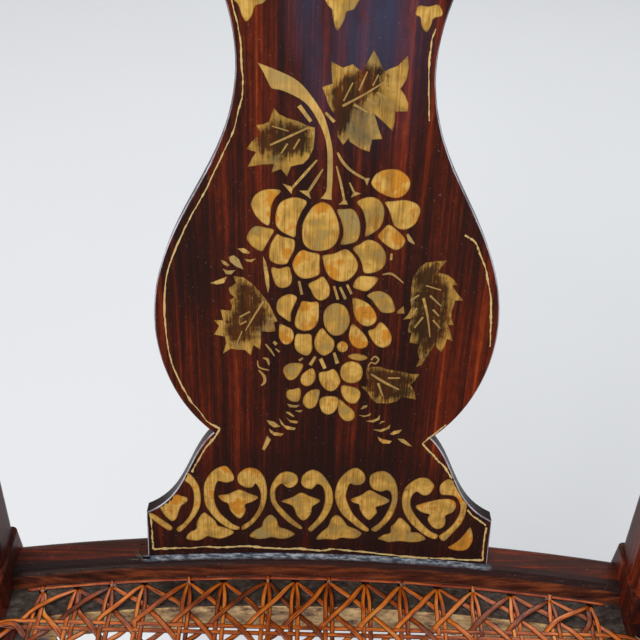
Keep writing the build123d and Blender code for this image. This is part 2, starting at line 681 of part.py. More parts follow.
# Wooden pins that lock the tenons, one node for each kind of joint
joint_pins = {"crest_pins": crest_pin, "rear_rail_pins": rear_rail_pin, "side_rail_pins": side_rail_pin}
for name, pin in joint_pins.items():
    with BuildPart() as pins:
        for side in (Vector, mirrored_x):
            round_bar(side(pin[0]), side(pin[1]), PIN_RADIUS)
    keep(pins, name)


def cane_layer(name, layer, lines):
    """One set of strands, laid on the set below and cut off at the rows of holes."""
    with BuildPart() as strands:
        with BuildSketch(seat_plane.offset(layer * STRAND_THICKNESS)):
            with Locations(*[Location((x, y), turn) for x, y, turn in lines]):
                Rectangle(4 * SEAT_DEPTH, STRAND_WIDTH)
            Polygon(*hole_outline, align=None, mode=Mode.INTERSECT)
        extrude(amount=STRAND_THICKNESS)
    keep(strands, name)


# Cane: pairs front to back, pairs side to side, and single strands both ways on the slant
pair = (-PAIR_SPACING / 2, PAIR_SPACING / 2)
rear_by_step = dict(zip(rear_steps, rear_holes))
front_to_back = []
for i in range(1 - FRONT_HOLES_HALF, FRONT_HOLES_HALF - 1):
    front_x = (i + 0.5) * HOLE_PITCH
    rear_x, rear_y = rear_by_step.get(i, (front_x, 0))
    turn = degrees(atan2(rear_y + SEAT_DEPTH, rear_x - front_x))
    front_to_back += [(front_x + gap, -SEAT_DEPTH, turn) for gap in pair]
cane_layer("cane_front_to_back", 0, front_to_back)
cane_layer("cane_side_to_side", 1, [(0, y + gap, 0) for y in cross_y for gap in pair])
slant_steps = int((FRONT_HALF + SEAT_DEPTH) / HOLE_PITCH)
slant_x = [(i + 0.5) * HOLE_PITCH for i in range(-REAR_HOLES_HALF - 1, slant_steps)]
cane_layer("cane_slant_right", 2, [(x, 0, 45) for x in slant_x])
cane_layer("cane_slant_left", 3, [(-x, 0, -45) for x in slant_x])

# Every hole of the seat, with the direction that points outward from its row
hole_places = [(x, y, 90 - degrees(atan2(x, BOW_RADIUS))) for x, y in rear_holes]
hole_places += [(x, y, degrees(side_turn)) for x, y in side_holes]
hole_places += [(-x, y, 180 - degrees(side_turn)) for x, y in side_holes]
hole_places += [(x, y, -90) for x, y in front_holes[1:-1]]


def outward_of(place, distance):
    """A spot in the plane of the seat, moved outward from a hole."""
    x, y, turn = place
    return Location((x + distance * cos(radians(turn)), y + distance * sin(radians(turn))), turn)


# Binder: a cane strip laid along the outside of each row of holes, at the foot of the roll
binder_in = ROLL_FOOT - BINDER_GAP - BINDER_WIDTH
binder_middle = binder_in + BINDER_WIDTH / 2
with BuildPart() as cane_binder:
    with BuildSketch(seat_plane):
        with BuildLine():
            reach = LAST_REAR_HOLE + POST_GAP / 2
            edges = [
                ThreePointArc((-reach, bow(reach, out)), (0, bow(0, out)), (reach, bow(reach, out)))
                for out in (binder_in, binder_in + BINDER_WIDTH)
            ]
            Line(edges[0] @ 0, edges[1] @ 0)
            Line(edges[0] @ 1, edges[1] @ 1)
        make_face()
        side_middle_y = (side_holes[0][1] - SEAT_DEPTH) / 2
        side_run = (SEAT_DEPTH - FIRST_CROSS) / cos(side_turn)
        for side, turn in ((1, degrees(side_turn)), (-1, 180 - degrees(side_turn))):
            middle = (side * side_hole_line(side_middle_y), side_middle_y, turn)
            with Locations(outward_of(middle, binder_middle)):
                Rectangle(BINDER_WIDTH, side_run)
        with Locations((0, -SEAT_DEPTH - binder_middle)):
            Rectangle(2 * (FRONT_HALF - 2 * BINDER_WIDTH), BINDER_WIDTH)
    extrude(amount=BINDER_THICKNESS)
keep(cane_binder, "cane_binder")

# A loop of cane ties the binder down at every second hole, and a peg fills each hole between
with BuildPart() as cane_loops:
    with BuildSketch(seat_plane.offset(BINDER_THICKNESS)):
        with Locations(*[outward_of(place, ROLL_FOOT / 2) for place in hole_places[::2]]):
            Rectangle(ROLL_FOOT - 2 * FIT, LOOP_WIDTH)
    extrude(amount=LOOP_THICKNESS)
keep(cane_loops, "cane_binder_loops")

with BuildPart() as cane_pegs:
    with BuildSketch(seat_plane.offset(-PEG_SUNK)):
        with Locations(*[(x, y) for x, y, turn in hole_places[1::2]]):
            Circle(HOLE_RADIUS)
    extrude(amount=-PEG_LENGTH)
keep(cane_pegs, "cane_hole_pegs")
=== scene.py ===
import random
from math import cos, pi, radians, sin, sqrt

import bpy
from mathutils import Matrix, Vector
from mathutils.bvhtree import BVHTree
from mathutils.geometry import delaunay_2d_cdt


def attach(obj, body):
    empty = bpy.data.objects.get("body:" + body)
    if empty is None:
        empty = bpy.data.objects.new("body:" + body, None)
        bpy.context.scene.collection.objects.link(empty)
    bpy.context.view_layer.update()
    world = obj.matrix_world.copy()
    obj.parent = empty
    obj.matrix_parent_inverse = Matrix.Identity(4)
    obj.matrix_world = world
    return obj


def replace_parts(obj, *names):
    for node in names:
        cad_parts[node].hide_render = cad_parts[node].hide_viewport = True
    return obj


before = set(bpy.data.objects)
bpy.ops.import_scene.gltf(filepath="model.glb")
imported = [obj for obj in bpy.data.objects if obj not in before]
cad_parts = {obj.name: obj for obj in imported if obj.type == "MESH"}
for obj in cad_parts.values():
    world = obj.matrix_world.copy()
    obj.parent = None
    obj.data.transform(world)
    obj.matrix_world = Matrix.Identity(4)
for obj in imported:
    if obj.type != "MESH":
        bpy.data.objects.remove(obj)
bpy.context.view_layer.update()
MM = 0.001

# Camera: where it stands, in metres, how it is turned, in degrees, and the width of the picture it takes
CAMERA_PLACE = (-0.00595, -0.11077, 0.86819)
CAMERA_YAW = 0.591
CAMERA_DOWN = 43.5
CAMERA_ROLL = 2.004
FOCAL_PX = 899.65
PICTURE = 640
SENSOR = 36.0
CLIP_START = 0.02

# Sizes that the cane takes from the seat, in millimetres, from the middle of the rear row of holes
SEAT_Y = 139.186
CANE_LEVEL = 440.0
PITCH = 19.0
DEPTH = 342.0
BOW = 1050.0
FIRST_CROSS = 28.5
CROSS_PAIRS = 16
SIDE_NARROW, SIDE_WIDE = 164.0, 199.5
REAR_HALF = 8
REAR_WANDER = (0, -1.5, -3, -5, -1, -2, 2.5, -2, -3.5, -3, -3, -3, -3.5, -2.5, -1.5, 0)

# The back: where the splat's face stands on the rear rail, in millimetres, and the ways it leans
SPLAT_FOOT = Vector((0, 151.686, 447.5))
ALONG = Vector((0, 0.20791, 0.97815))
BACKWARD = Vector((0, 0.97815, -0.20791))


# ---------------------------------------------------------------- helpers


def new_object(name, verts, faces, material, attributes=None, smooth=True):
    """A mesh from plain lists, with a few numbers kept at its points."""
    mesh = bpy.data.meshes.new(name)
    mesh.from_pydata([tuple(v) for v in verts], [], faces)
    mesh.update()
    for key, values in (attributes or {}).items():
        layer = mesh.attributes.new(key, "FLOAT", "POINT")
        layer.data.foreach_set("value", values)
    obj = bpy.data.objects.new(name, mesh)
    bpy.context.scene.collection.objects.link(obj)
    obj.data.materials.append(material)
    mesh.polygons.foreach_set("use_smooth", [smooth] * len(mesh.polygons))
    return obj


def rides(obj):
    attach(obj, "root")
    return obj


def pairs(*numbers):
    """Points, each of two numbers in turn."""
    return list(zip(numbers[::2], numbers[1::2]))


def outlines(*rows):
    """Outlines, each a row of numbers, two for each point."""
    return [pairs(*row) for row in rows]


def smooth_step(value):
    value = max(0.0, min(1.0, value))
    return value * value * (3 - 2 * value)


def bow(x):
    """How far a line bowed like the back lies from its middle; at its ends it lies forward."""
    return sqrt(BOW * BOW - x * x) - BOW


def back_point(x, depth, height):
    """A place on the back, in metres: across, behind the splat's face, and up along it, in millimetres."""
    spot = SPLAT_FOOT + Vector((x, 0, 0)) + BACKWARD * (bow(x) + depth) + ALONG * height
    return spot * MM


# ---------------------------------------------------------------- camera

down, yaw, roll = radians(CAMERA_DOWN), radians(CAMERA_YAW), radians(CAMERA_ROLL)
look = Vector((sin(yaw) * cos(down), cos(yaw) * cos(down), -sin(down)))
level = Vector((cos(yaw), -sin(yaw), 0))
upright = level.cross(look)
camera_right = level * cos(roll) + upright * sin(roll)
camera_up = upright * cos(roll) - level * sin(roll)
camera_place = Vector(CAMERA_PLACE)
camera_data = bpy.data.cameras.new("camera")
camera_data.sensor_fit = "HORIZONTAL"
camera_data.sensor_width = SENSOR
camera_data.lens = FOCAL_PX * SENSOR / PICTURE
camera_data.clip_start = CLIP_START
camera = bpy.data.objects.new("camera", camera_data)
bpy.context.scene.collection.objects.link(camera)
turn = Matrix((camera_right, camera_up, -look)).transposed()
camera.matrix_world = Matrix.Translation(camera_place) @ turn.to_4x4()
bpy.context.scene.camera = camera


def ray_through(px, py):
    """Direction from the camera through a place in its picture, given in pixels from the top left."""
    across = (px - PICTURE / 2) / FOCAL_PX
    below = (py - PICTURE / 2) / FOCAL_PX
    return (look + camera_right * across - camera_up * below).normalized()


# ---------------------------------------------------------------- shader helpers


class Nodes:
    """Short names for building a material's nodes."""

    def __init__(self, tree):
        self.tree = tree

    def add(self, kind, **values):
        node = self.tree.nodes.new(kind)
        for key, value in values.items():
            setattr(node, key, value)
        return node

    def put(self, socket, value):
        if isinstance(value, bpy.types.NodeSocket):
            self.tree.links.new(value, socket)
        elif value is not None:
            socket.default_value = value

    def math(self, operation, a, b=None, c=None):
        node = self.add("ShaderNodeMath", operation=operation)
        for socket, value in zip(node.inputs, (a, b, c)):
            self.put(socket, value)
        return node.outputs[0]

    def times(self, result, *others):
        """Product of two or more values."""
        for other in others:
            result = self.math("MULTIPLY", result, other)
        return result

    def total(self, *terms):
        """Sum of (value, share) pairs."""
        result = 0.0
        for value, share in terms:
            result = self.math("MULTIPLY_ADD", value, share, result)
        return result

    def mapped(self, vector, scale=(1, 1, 1), place=(0, 0, 0), turned=(0, 0, 0)):
        node = self.add("ShaderNodeMapping")
        self.put(node.inputs["Vector"], vector)
        node.inputs["Scale"].default_value = scale
        node.inputs["Location"].default_value = place
        node.inputs["Rotation"].default_value = turned
        return node.outputs[0]

    def noise(self, vector, scale, detail=4.0, rough=0.55):
        node = self.add("ShaderNodeTexNoise")
        self.put(node.inputs["Vector"], vector)
        node.inputs["Scale"].default_value = scale
        node.inputs["Detail"].default_value = detail
        node.inputs["Roughness"].default_value = rough
        return node.outputs["Fac"]

    def ramp(self, value, *stops):
        node = self.add("ShaderNodeValToRGB")
        self.put(node.inputs[0], value)
        band = node.color_ramp
        while len(band.elements) > 1:
            band.elements.remove(band.elements[-1])
        for i, (at, colour) in enumerate(stops):
            stop = band.elements[0] if i == 0 else band.elements.new(at)
            stop.position = at
            stop.color = (*colour, 1)
        return node.outputs[0]

    def rise(self, value, low, high, least=0.0, most=1.0):
        """Runs smoothly from least to most while the value runs from low to high."""
        node = self.add("ShaderNodeMapRange", interpolation_type="SMOOTHSTEP")
        names = ("Value", "From Min", "From Max", "To Min", "To Max")
        for key, number in zip(names, (value, low, high, least, most)):
            self.put(node.inputs[key], number)
        return node.outputs[0]

    def between(self, value, low, high, soft):
        """One between two values and nought outside, with soft ends."""
        below = self.rise(value, low - soft, low)
        return self.times(below, self.rise(value, high, high + soft, 1.0, 0.0))

    def mix(self, share, a, b):
        node = self.add("ShaderNodeMix", data_type="RGBA")
        self.put(node.inputs[0], share)
        for socket, value in ((node.inputs[6], a), (node.inputs[7], b)):
            self.put(socket, (*value, 1) if isinstance(value, tuple) else value)
        return node.outputs[2]

    def bump(self, height, distance, strength=1.0):
        node = self.add("ShaderNodeBump")
        node.inputs["Strength"].default_value = strength
        node.inputs["Distance"].default_value = distance
        self.put(node.inputs["Height"], height)
        return node.outputs[0]

    def place(self):
        return self.add("ShaderNodeTexCoord").outputs["Object"]

    def kept(self, name):
        """A number kept at a mesh's points."""
        return self.add("ShaderNodeAttribute", attribute_name=name).outputs["Fac"]

    def parts(self, vector):
        node = self.add("ShaderNodeSeparateXYZ")
        self.put(node.inputs[0], vector)
        return node.outputs


def srgb(red, green, blue):
    """A colour written as 0 to 255, in the renderer's own light values."""
    parts = (c / 255 for c in (red, green, blue))
    return tuple(c / 12.92 if c <= 0.04045 else ((c + 0.055) / 1.055) ** 2.4 for c in parts)


def new_material(name):
    material = bpy.data.materials.new(name)
    material.use_nodes = True
    tree = material.node_tree
    return material, Nodes(tree), tree.nodes["Principled BSDF"]


# Colours of the painted wood
BLACK = srgb(36, 20, 18)
BLACK_BROWN = srgb(48, 22, 17)
DARK_RED = srgb(70, 27, 17)
RED_BROWN = srgb(104, 37, 18)
RUST = srgb(140, 56, 22)
AMBER = srgb(180, 88, 34)
# Painted reflection: the cool tint of a sky seen in the varnish of the splat's neck
SKY_REFLECTION_TINT = srgb(62, 66, 90)
# Painted highlight: the pale line along the splat's and crest's rounded arrises
ARRIS_HIGHLIGHT = srgb(206, 204, 214)

# How places turn so that the grain runs up: across, front to back, upright, and up the leaning back
LEAN = (radians(12), 0, 0)
GRAIN_TURNS = {"X": (0, radians(90), 0), "Y": (radians(90), 0, 0), "Z": (0, 0, 0), "back": LEAN}

# How densely the layers of the graining vary, across it twice and then along it
WAVE_SCALE = (9, 9, 4)
BROAD_SCALE = (120, 120, 4)
DRAGGED_SCALE = (360, 360, 7)
FINE_SCALE = (1100, 1100, 16)
CLOUD_SCALE, CLOUD_PLACE = (16, 16, 7), (3, 1, 7)
MOTTLE_SCALE = (500, 500, 190)
WAVE_REACH = (0.004, 0.004, 0)
# Shares of broad, dragged, fine, clouded and mottled in the tone, and the tone at which each colour stands
GRAIN_SHARES = (0.3, 0.3, 0.25, 0.15, 0.15)
GRAIN_COLOURS = (
    (0.48, BLACK),
    (0.535, BLACK_BROWN),
    (0.59, DARK_RED),
    (0.65, RED_BROWN),
    (0.71, RUST),
    (0.78, AMBER),
)


def graining(n, along, bias=None):
    """Colour of painted graining: a dark glaze dragged over red, streaked along one way."""
    base = n.mapped(n.place(), turned=GRAIN_TURNS[along])
    wavy = n.noise(n.mapped(base, scale=WAVE_SCALE), 1.0, 2.0)
    waved = n.add("ShaderNodeVectorMath", operation="MULTIPLY_ADD")
    n.put(waved.inputs[0], wavy)
    waved.inputs[1].default_value = WAVE_REACH
    n.put(waved.inputs[2], base)
    waved = waved.outputs[0]
    broad = n.noise(n.mapped(waved, scale=BROAD_SCALE), 1.0, 3.0)
    dragged = n.noise(n.mapped(waved, scale=DRAGGED_SCALE), 1.0, 4.0, 0.6)
    fine = n.noise(n.mapped(waved, scale=FINE_SCALE), 1.0, 4.0, 0.65)
    clouds = n.noise(n.mapped(base, scale=CLOUD_SCALE, place=CLOUD_PLACE), 1.0, 3.0)
    mottled = n.noise(n.mapped(base, scale=MOTTLE_SCALE), 1.0, 4.0, 0.7)
    tone = n.total(*zip((broad, dragged, fine, clouds, mottled), GRAIN_SHARES))
    if bias:
        tone = n.math("ADD", tone, bias(n))
    return n.ramp(tone, *GRAIN_COLOURS), dragged, fine


# The varnish over the paint: its roughness, what the streaks add to it, and the tint of what it reflects
VARNISH_ROUGHNESS, STREAK_ROUGHNESS = 0.23, 0.3
VARNISH_TINT = (1, 0.7, 0.6, 1)
DUST_SPECK = srgb(150, 130, 120)


def painted_wood(name, along, extra=None, bias=None):
    """Grained and varnished paint. extra(n, colour) may lay more paint over it."""
    material, n, shader = new_material(name)
    colour, dragged, fine = graining(n, along, bias)
    if extra:
        colour = extra(n, colour)
    specks = n.noise(n.place(), 900.0, 2.0)
    colour = n.mix(n.rise(specks, 0.69, 0.75, 0.0, 0.35), colour, DUST_SPECK)
    n.put(shader.inputs["Base Color"], colour)
    n.put(shader.inputs["Roughness"], n.math("MULTIPLY_ADD", dragged, STREAK_ROUGHNESS, VARNISH_ROUGHNESS))
    shader.inputs["Specular IOR Level"].default_value = 0.14
    shader.inputs["Specular Tint"].default_value = VARNISH_TINT
    uneven = n.noise(n.mapped(n.place(), scale=(1, 1, 0.4)), 160.0, 3.0)
    n.put(shader.inputs["Normal"], n.bump(n.total((fine, 0.6), (uneven, 0.4)), 0.0004, 0.45))
    return material


SAWN_EDGE = srgb(20, 8, 7)


def dark_edges_and_arris_highlight(n, colour):
    """Dark sawn edges of the splat and the crest, and a painted highlight along their arrises, stronger where
    they face up toward the light.
    """
    normal = n.add("ShaderNodeNewGeometry").outputs["True Normal"]
    facing = n.add("ShaderNodeVectorMath", operation="DOT_PRODUCT")
    n.put(facing.inputs[0], normal)
    facing.inputs[1].default_value = BACKWARD
    facing = n.math("ABSOLUTE", facing.outputs["Value"])
    colour = n.mix(n.rise(facing, 0.2, 0.5, 0.9, 0.0), colour, SAWN_EDGE)
    # Painted highlight: pale along the arrises, stronger where they face up toward the light, broken into
    # lengths by noise
    arris = n.between(facing, 0.5, 0.94, 0.045)
    facing_up_light = n.rise(n.parts(normal)[2], -0.15, 0.45, 0.2, 1.0)
    rubbed = n.rise(n.noise(n.place(), 55.0, 4.0), 0.36, 0.55, 0.3, 0.95)
    return n.mix(n.times(arris, facing_up_light, rubbed), colour, ARRIS_HIGHLIGHT)


# Where parts of the splat lie, in metres up from the floor and aside from its middle
BELLY_UP, BELLY_ASIDE = (0.50, 0.585), (0.048, 0.08)
NECK_UP, NECK_ASIDE = (0.60, 0.66), (0.022, 0.04)
GRAPES_UP, GRAPES_ASIDE = (0.515, 0.60), (0.0, 0.035)
FOOT_UP = (0.50, 0.525)
# Where the painted reflection of the sky lies on the upper neck: heights, its middle line, and distances aside
REFLECTION_UP, REFLECTION_MIDDLE, REFLECTION_ASIDE = (0.655, 0.735), 0.008, (0.01, 0.034)


def splat_bias(n):
    """Where the splat's graining is redder, at its belly's sides and its neck, and darker elsewhere."""
    x, y, z = n.parts(n.place())
    aside = n.math("ABSOLUTE", x)
    belly = n.times(n.between(z, *BELLY_UP, 0.03), n.between(aside, *BELLY_ASIDE, 0.02))
    neck = n.times(n.rise(z, *NECK_UP), n.between(aside, *NECK_ASIDE, 0.01))
    grapes = n.times(n.between(z, *GRAPES_UP, 0.02), n.between(aside, *GRAPES_ASIDE, 0.012))
    foot = n.rise(z, *FOOT_UP, 1.0, 0.0)
    return n.total((belly, 0.035), (neck, 0.02), (grapes, -0.03), (foot, -0.07))


def splat_extra(n, colour):
    """A painted reflection of a cool sky in the varnish of the neck, and the dark edges with their painted
    arris highlight.
    """
    x, y, z = n.parts(n.place())
    # Painted reflection: a cool sky tint over the upper middle of the neck, broken up by clouded noise
    high = n.rise(z, *REFLECTION_UP)
    middle = n.rise(n.math("ABSOLUTE", n.math("SUBTRACT", x, REFLECTION_MIDDLE)), *REFLECTION_ASIDE, 1.0, 0.0)
    cloud = n.noise(n.mapped(n.place(), scale=(60, 60, 12)), 1.0, 4.0)
    painted_reflection = n.times(high, middle, n.rise(cloud, 0.32, 0.56, 0.2, 0.85))
    return dark_edges_and_arris_highlight(n, n.mix(painted_reflection, colour, SKY_REFLECTION_TINT))


def from_hole_line(n):
    """Places across, outward from the bowed rear row of holes, and up, in metres."""
    x, y, z = n.parts(n.place())
    bowed = n.math("SQRT", n.math("SUBTRACT", (BOW * MM) ** 2, n.times(x, x)))
    return x, n.math("SUBTRACT", n.math("SUBTRACT", y, (SEAT_Y - BOW) * MM), bowed), z


# The rear rail's parts, in metres: outward from the row of holes, and up from the floor
RABBET_OUT, RABBET_UP = (0.0026, 0.0032), (0.4385, 0.4395)
SLOPE_OUT, SLOPE_UP = (0.0026, 0.0062), (0.4398, 0.4406)
TOP_OUT, TOP_UP = (0.0066, 0.0125), (0.445, 0.446)
# Where the painted highlight lies on the rail's lip in front of the splat's foot, standing in for a reflection
# of the sky
LIP_HIGHLIGHT_OUT, LIP_HIGHLIGHT_UP = (0.0104, 0.0113), (0.4462, 0.447)
LIP_HIGHLIGHT_MIDDLE, LIP_HIGHLIGHT_ENDS = 0.0005, (0.088, 0.0935)
INNER_OUT, INNER_UP = (-0.0136, -0.0130), (0.4390, 0.4394)
DUST = ((0.35, srgb(34, 28, 26)), (0.55, srgb(62, 54, 48)), (0.75, srgb(96, 86, 74)))
BROWN_FACE = ((0.34, srgb(34, 17, 14)), (0.5, srgb(76, 36, 23)), (0.66, srgb(126, 62, 34)))
LIP_HIGHLIGHT = ((0.42, srgb(96, 112, 130)), (0.64, srgb(196, 200, 208)))
BARE_WOOD = ((0.36, srgb(80, 54, 44)), (0.47, srgb(170, 132, 88)), (0.6, srgb(226, 190, 132)))
DARK_TOP = srgb(24, 20, 22)


def rear_rail_extra(n, colour):
    """Dusty rabbet, brown front of the roll, dark top, a painted highlight on the lip by the splat, and bare
    inner face.
    """
    x, out, z = from_hole_line(n)
    dust = n.noise(n.mapped(n.place(), scale=(1, 1.6, 1)), 240.0, 5.0, 0.65)
    streak = n.noise(n.mapped(n.place(), scale=(45, 700, 260)), 1.0, 4.0, 0.6)
    rabbet = n.times(n.rise(out, *RABBET_OUT, 1.0, 0.0), n.rise(z, *RABBET_UP))
    colour = n.mix(rabbet, colour, n.ramp(dust, *DUST))
    slope = n.times(n.between(out, *SLOPE_OUT, 0.0006), n.rise(z, *SLOPE_UP), 0.85)
    colour = n.mix(slope, colour, n.ramp(streak, *BROWN_FACE))
    top = n.times(n.between(out, *TOP_OUT, 0.0005), n.rise(z, *TOP_UP), 0.8)
    colour = n.mix(top, colour, DARK_TOP)
    # Painted highlight: a pale bluish band on the lip in front of the splat, as a reflection of the sky,
    # blotched by noise
    behind = n.times(n.between(out, *LIP_HIGHLIGHT_OUT, 0.0022), n.rise(z, *LIP_HIGHLIGHT_UP))
    foot = n.rise(n.math("ABSOLUTE", n.math("ADD", x, LIP_HIGHLIGHT_MIDDLE)), *LIP_HIGHLIGHT_ENDS, 1.0, 0.0)
    rubbed = n.noise(n.mapped(n.place(), scale=(0.5, 1.4, 1)), 420.0, 5.0, 0.6)
    highlight_blotch = n.rise(rubbed, 0.3, 0.66, 0.4, 0.9)
    colour = n.mix(n.times(behind, foot, highlight_blotch), colour, n.ramp(rubbed, *LIP_HIGHLIGHT))
    inner = n.times(n.rise(out, *INNER_OUT, 1.0, 0.0), n.rise(z, *INNER_UP, 1.0, 0.0))
    bare = n.noise(n.mapped(n.place(), scale=(0.6, 1, 1)), 190.0, 5.0, 0.7)
    return n.mix(inner, colour, n.ramp(bare, *BARE_WOOD))


# Gilded rings round the turned pieces: how far they shake, in metres, half their width, in millimetres, and
# their heights up the legs and posts and distances from a stretcher's middle
RING_SHAKE = 0.0016
RING_TONES = ((0.38, srgb(160, 112, 44)), (0.55, srgb(204, 158, 76)))
RING_HALF = 2.6
LEG_RINGS = (24.0, 196.0, 233.0, 302.0, 381.0)
POST_RINGS = (24.0, 340.0, 397.0)
STRETCHER_RINGS = (13.0, 56.0, 128.0)


def ringed(rings, axis):
    """Gilding brushed round a turned piece at given places along it."""

    def extra(n, colour):
        along = n.parts(n.place())[axis]
        if axis == 0:
            along = n.math("ABSOLUTE", along)
        centred = n.math("SUBTRACT", along, RING_SHAKE / 2)
        shaky = n.math("MULTIPLY_ADD", n.noise(n.place(), 130.0, 3.0), RING_SHAKE, centred)
        mask = 0.0
        for ring in rings:
            mask = n.math("MAXIMUM", mask, n.math("COMPARE", shaky, ring * MM, RING_HALF * MM))
        rubbed = n.rise(n.noise(n.place(), 300.0, 5.0, 0.7), 0.33, 0.43)
        return n.mix(n.times(mask, rubbed), colour, n.ramp(n.noise(n.place(), 90.0, 3.0), *RING_TONES))

    return extra


splat_wood = painted_wood("grained_splat", "back", extra=splat_extra, bias=splat_bias)
crest_wood = painted_wood("grained_crest", "X", extra=dark_edges_and_arris_highlight)
rear_rail_wood = painted_wood("grained_rear_rail", "X", extra=rear_rail_extra)
rail_wood = painted_wood("grained_across", "X")
side_wood = painted_wood("grained_lengthways", "Y")
leg_wood = painted_wood("grained_leg", "Z", extra=ringed(LEG_RINGS, 2))
post_wood = painted_wood("grained_post", "back", extra=ringed(POST_RINGS, 2))
turned_wood = painted_wood("grained_stretcher", "X", extra=ringed(STRETCHER_RINGS, 0))

WOOD_BY_NODE = {
    "splat": splat_wood,
    "crest_rail": crest_wood,
    "rear_rail": rear_rail_wood,
    "front_rail": rail_wood,
    "front_stretcher_upper": turned_wood,
    "front_stretcher_lower": rail_wood,
    "rear_stretcher": rail_wood,
    "crest_pins": rail_wood,
    "rear_rail_pins": rail_wood,
    "side_rail_pins": side_wood,
}
for hand in ("left", "right"):
    WOOD_BY_NODE[f"side_rail_{hand}"] = side_wood
    WOOD_BY_NODE[f"rear_post_{hand}"] = post_wood
    WOOD_BY_NODE[f"front_leg_{hand}"] = leg_wood
    WOOD_BY_NODE[f"side_stretcher_upper_{hand}"] = side_wood
    WOOD_BY_NODE[f"side_stretcher_lower_{hand}"] = side_wood

PEG_TONES = ((0.35, srgb(40, 24, 16)), (0.65, srgb(92, 60, 36)))
peg_wood, n, shader = new_material("peg_end_grain")
rings = n.noise(n.place(), 1500.0, 4.0)
n.put(shader.inputs["Base Color"], n.ramp(rings, *PEG_TONES))
shader.inputs["Roughness"].default_value = 0.8
n.put(shader.inputs["Normal"], n.bump(rings, 0.0003))
WOOD_BY_NODE["cane_hole_pegs"] = peg_wood
for node, wood in WOOD_BY_NODE.items():
    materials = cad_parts[node].data.materials
    materials.clear()
    materials.append(wood)

# ---------------------------------------------------------------- bronze powder stencils

DULL_GOLD = srgb(180, 144, 74)
GOLD = srgb(212, 164, 74)
PALE_GOLD = srgb(228, 184, 98)
ORANGE_GOLD = srgb(214, 142, 46)
GREEN_GREY = srgb(168, 146, 92)
GOLD_SHADE = srgb(148, 104, 46)
LINE_GOLD = srgb(224, 196, 134)
LEAF_DARK = srgb(34, 21, 12)
LEAF_GREY = srgb(102, 96, 74)
GOLD_RIM = srgb(110, 72, 34)
GOLD_TONES = ((0.16, GREEN_GREY), (0.36, DULL_GOLD), (0.48, GOLD), (0.6, PALE_GOLD), (0.7, ORANGE_GOLD))
BRONZE_TINT = (1, 0.82, 0.6, 1)


def bronze(name, wear=0.3, pale=0.0, leafy=False):
    """Bronze powder rubbed through a stencil, as it looks under old varnish."""
    material, n, shader = new_material(name)
    ground, _, fine = graining(n, "back")
    tone, rim = n.kept("tone"), n.kept("rim")
    board = n.mapped(n.place(), turned=LEAN)
    patch = n.total((n.noise(n.place(), 110.0, 2.0), 1.1), (tone, 0.75), (1.0, -0.43))
    colour = n.ramp(patch, *GOLD_TONES)
    hairs = n.noise(n.mapped(board, scale=(1500, 1500, 35)), 1.0, 3.0, 0.6)
    smudge = n.noise(n.mapped(board, scale=(1, 1, 0.3)), 300.0, 4.0, 0.6)
    shade = n.total((n.rise(hairs, 0.36, 0.56, 1.0, 0.0), 0.5), (n.rise(smudge, 0.3, 0.5, 1.0, 0.0), 0.5))
    colour = n.mix(shade, colour, GOLD_SHADE)
    colour = n.mix(n.rise(rim, 0.0, 0.16, 0.5, 0.0), colour, GOLD_RIM)
    colour = n.mix(pale, colour, LINE_GOLD)
    if leafy:
        cloud = n.math("SUBTRACT", n.noise(n.place(), 190.0, 5.0, 0.7), 0.5)
        hatch = n.math("SUBTRACT", n.noise(n.mapped(board, scale=(1300, 1300, 90)), 1.0, 3.0), 0.5)
        colour = n.mix(0.22, colour, ground)
        depth = n.math("ADD", n.kept("core"), n.total((cloud, 1.9), (hatch, 1.5)))
        dark = n.mix(0.6, LEAF_DARK, ground)
        grey = n.math("ADD", n.kept("grey"), n.total((cloud, 1.6), (hatch, 1.0)))
        colour = n.mix(n.rise(grey, 0.3, 1.3, 0.0, 0.7), colour, LEAF_GREY)
        colour = n.mix(n.rise(depth, 0.1, 0.9, 0.0, 0.94), colour, dark)
    rubbed = n.noise(n.place(), 310.0, 5.0, 0.7)
    colour = n.mix(n.rise(rubbed, 0.3, 0.42, wear, 0.0), colour, ground)
    n.put(shader.inputs["Base Color"], colour)
    shader.inputs["Metallic"].default_value = 0.15
    shader.inputs["Roughness"].default_value = 0.46
    shader.inputs["Specular IOR Level"].default_value = 0.15
    shader.inputs["Specular Tint"].default_value = BRONZE_TINT
    n.put(shader.inputs["Normal"], n.bump(n.total((fine, 0.7), (smudge, 0.3)), 0.0003, 0.4))
    return material


grape_gold = bronze("bronze_grapes")
leaf_gold = bronze("bronze_leaves", leafy=True)
stem_gold = bronze("bronze_stem", pale=0.2)
heart_gold = bronze("bronze_hearts", wear=0.6)
line_gold = bronze("bronze_pinstripe", wear=0.95, pale=0.8)

# How far paint stands proud of the wood, in metres, and how wide its darker rim is, in pixels
PAINT_PROUD = 0.00006
RIM_PX = 9.0
# Where a ray toward the back starts in front of it, in millimetres, and how far it looks, in metres
RAY_START, RAY_REACH = 30, 0.05
# A surface whose normal points less toward the front than this takes no paint
NOT_IN_FRONT = -0.5
graph = bpy.context.evaluated_depsgraph_get()
splat_tree = BVHTree.FromObject(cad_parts["splat"], graph)
crest_tree = BVHTree.FromObject(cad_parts["crest_rail"], graph)
steady = random.Random(7)


def from_camera(px, py):
    """The ray through a pixel of the picture."""
    return camera_place, ray_through(px, py)


def from_front(x, height):
    """The ray toward the back at a distance across and a height on it, in millimetres."""
    return back_point(x, -RAY_START, height), BACKWARD, RAY_REACH


def painted_on(tree, ray, proud=PAINT_PROUD):
    """Gives the place on a surface that the ray for two coordinates meets, or None past its edge."""

    def place(x, y):
        hit, normal, *_ = tree.ray_cast(*ray(x, y))
        return None if hit is None or normal.y > NOT_IN_FRONT else hit + normal * proud

    return place


on_splat = painted_on(splat_tree, from_camera)
on_crest = painted_on(crest_tree, from_front)


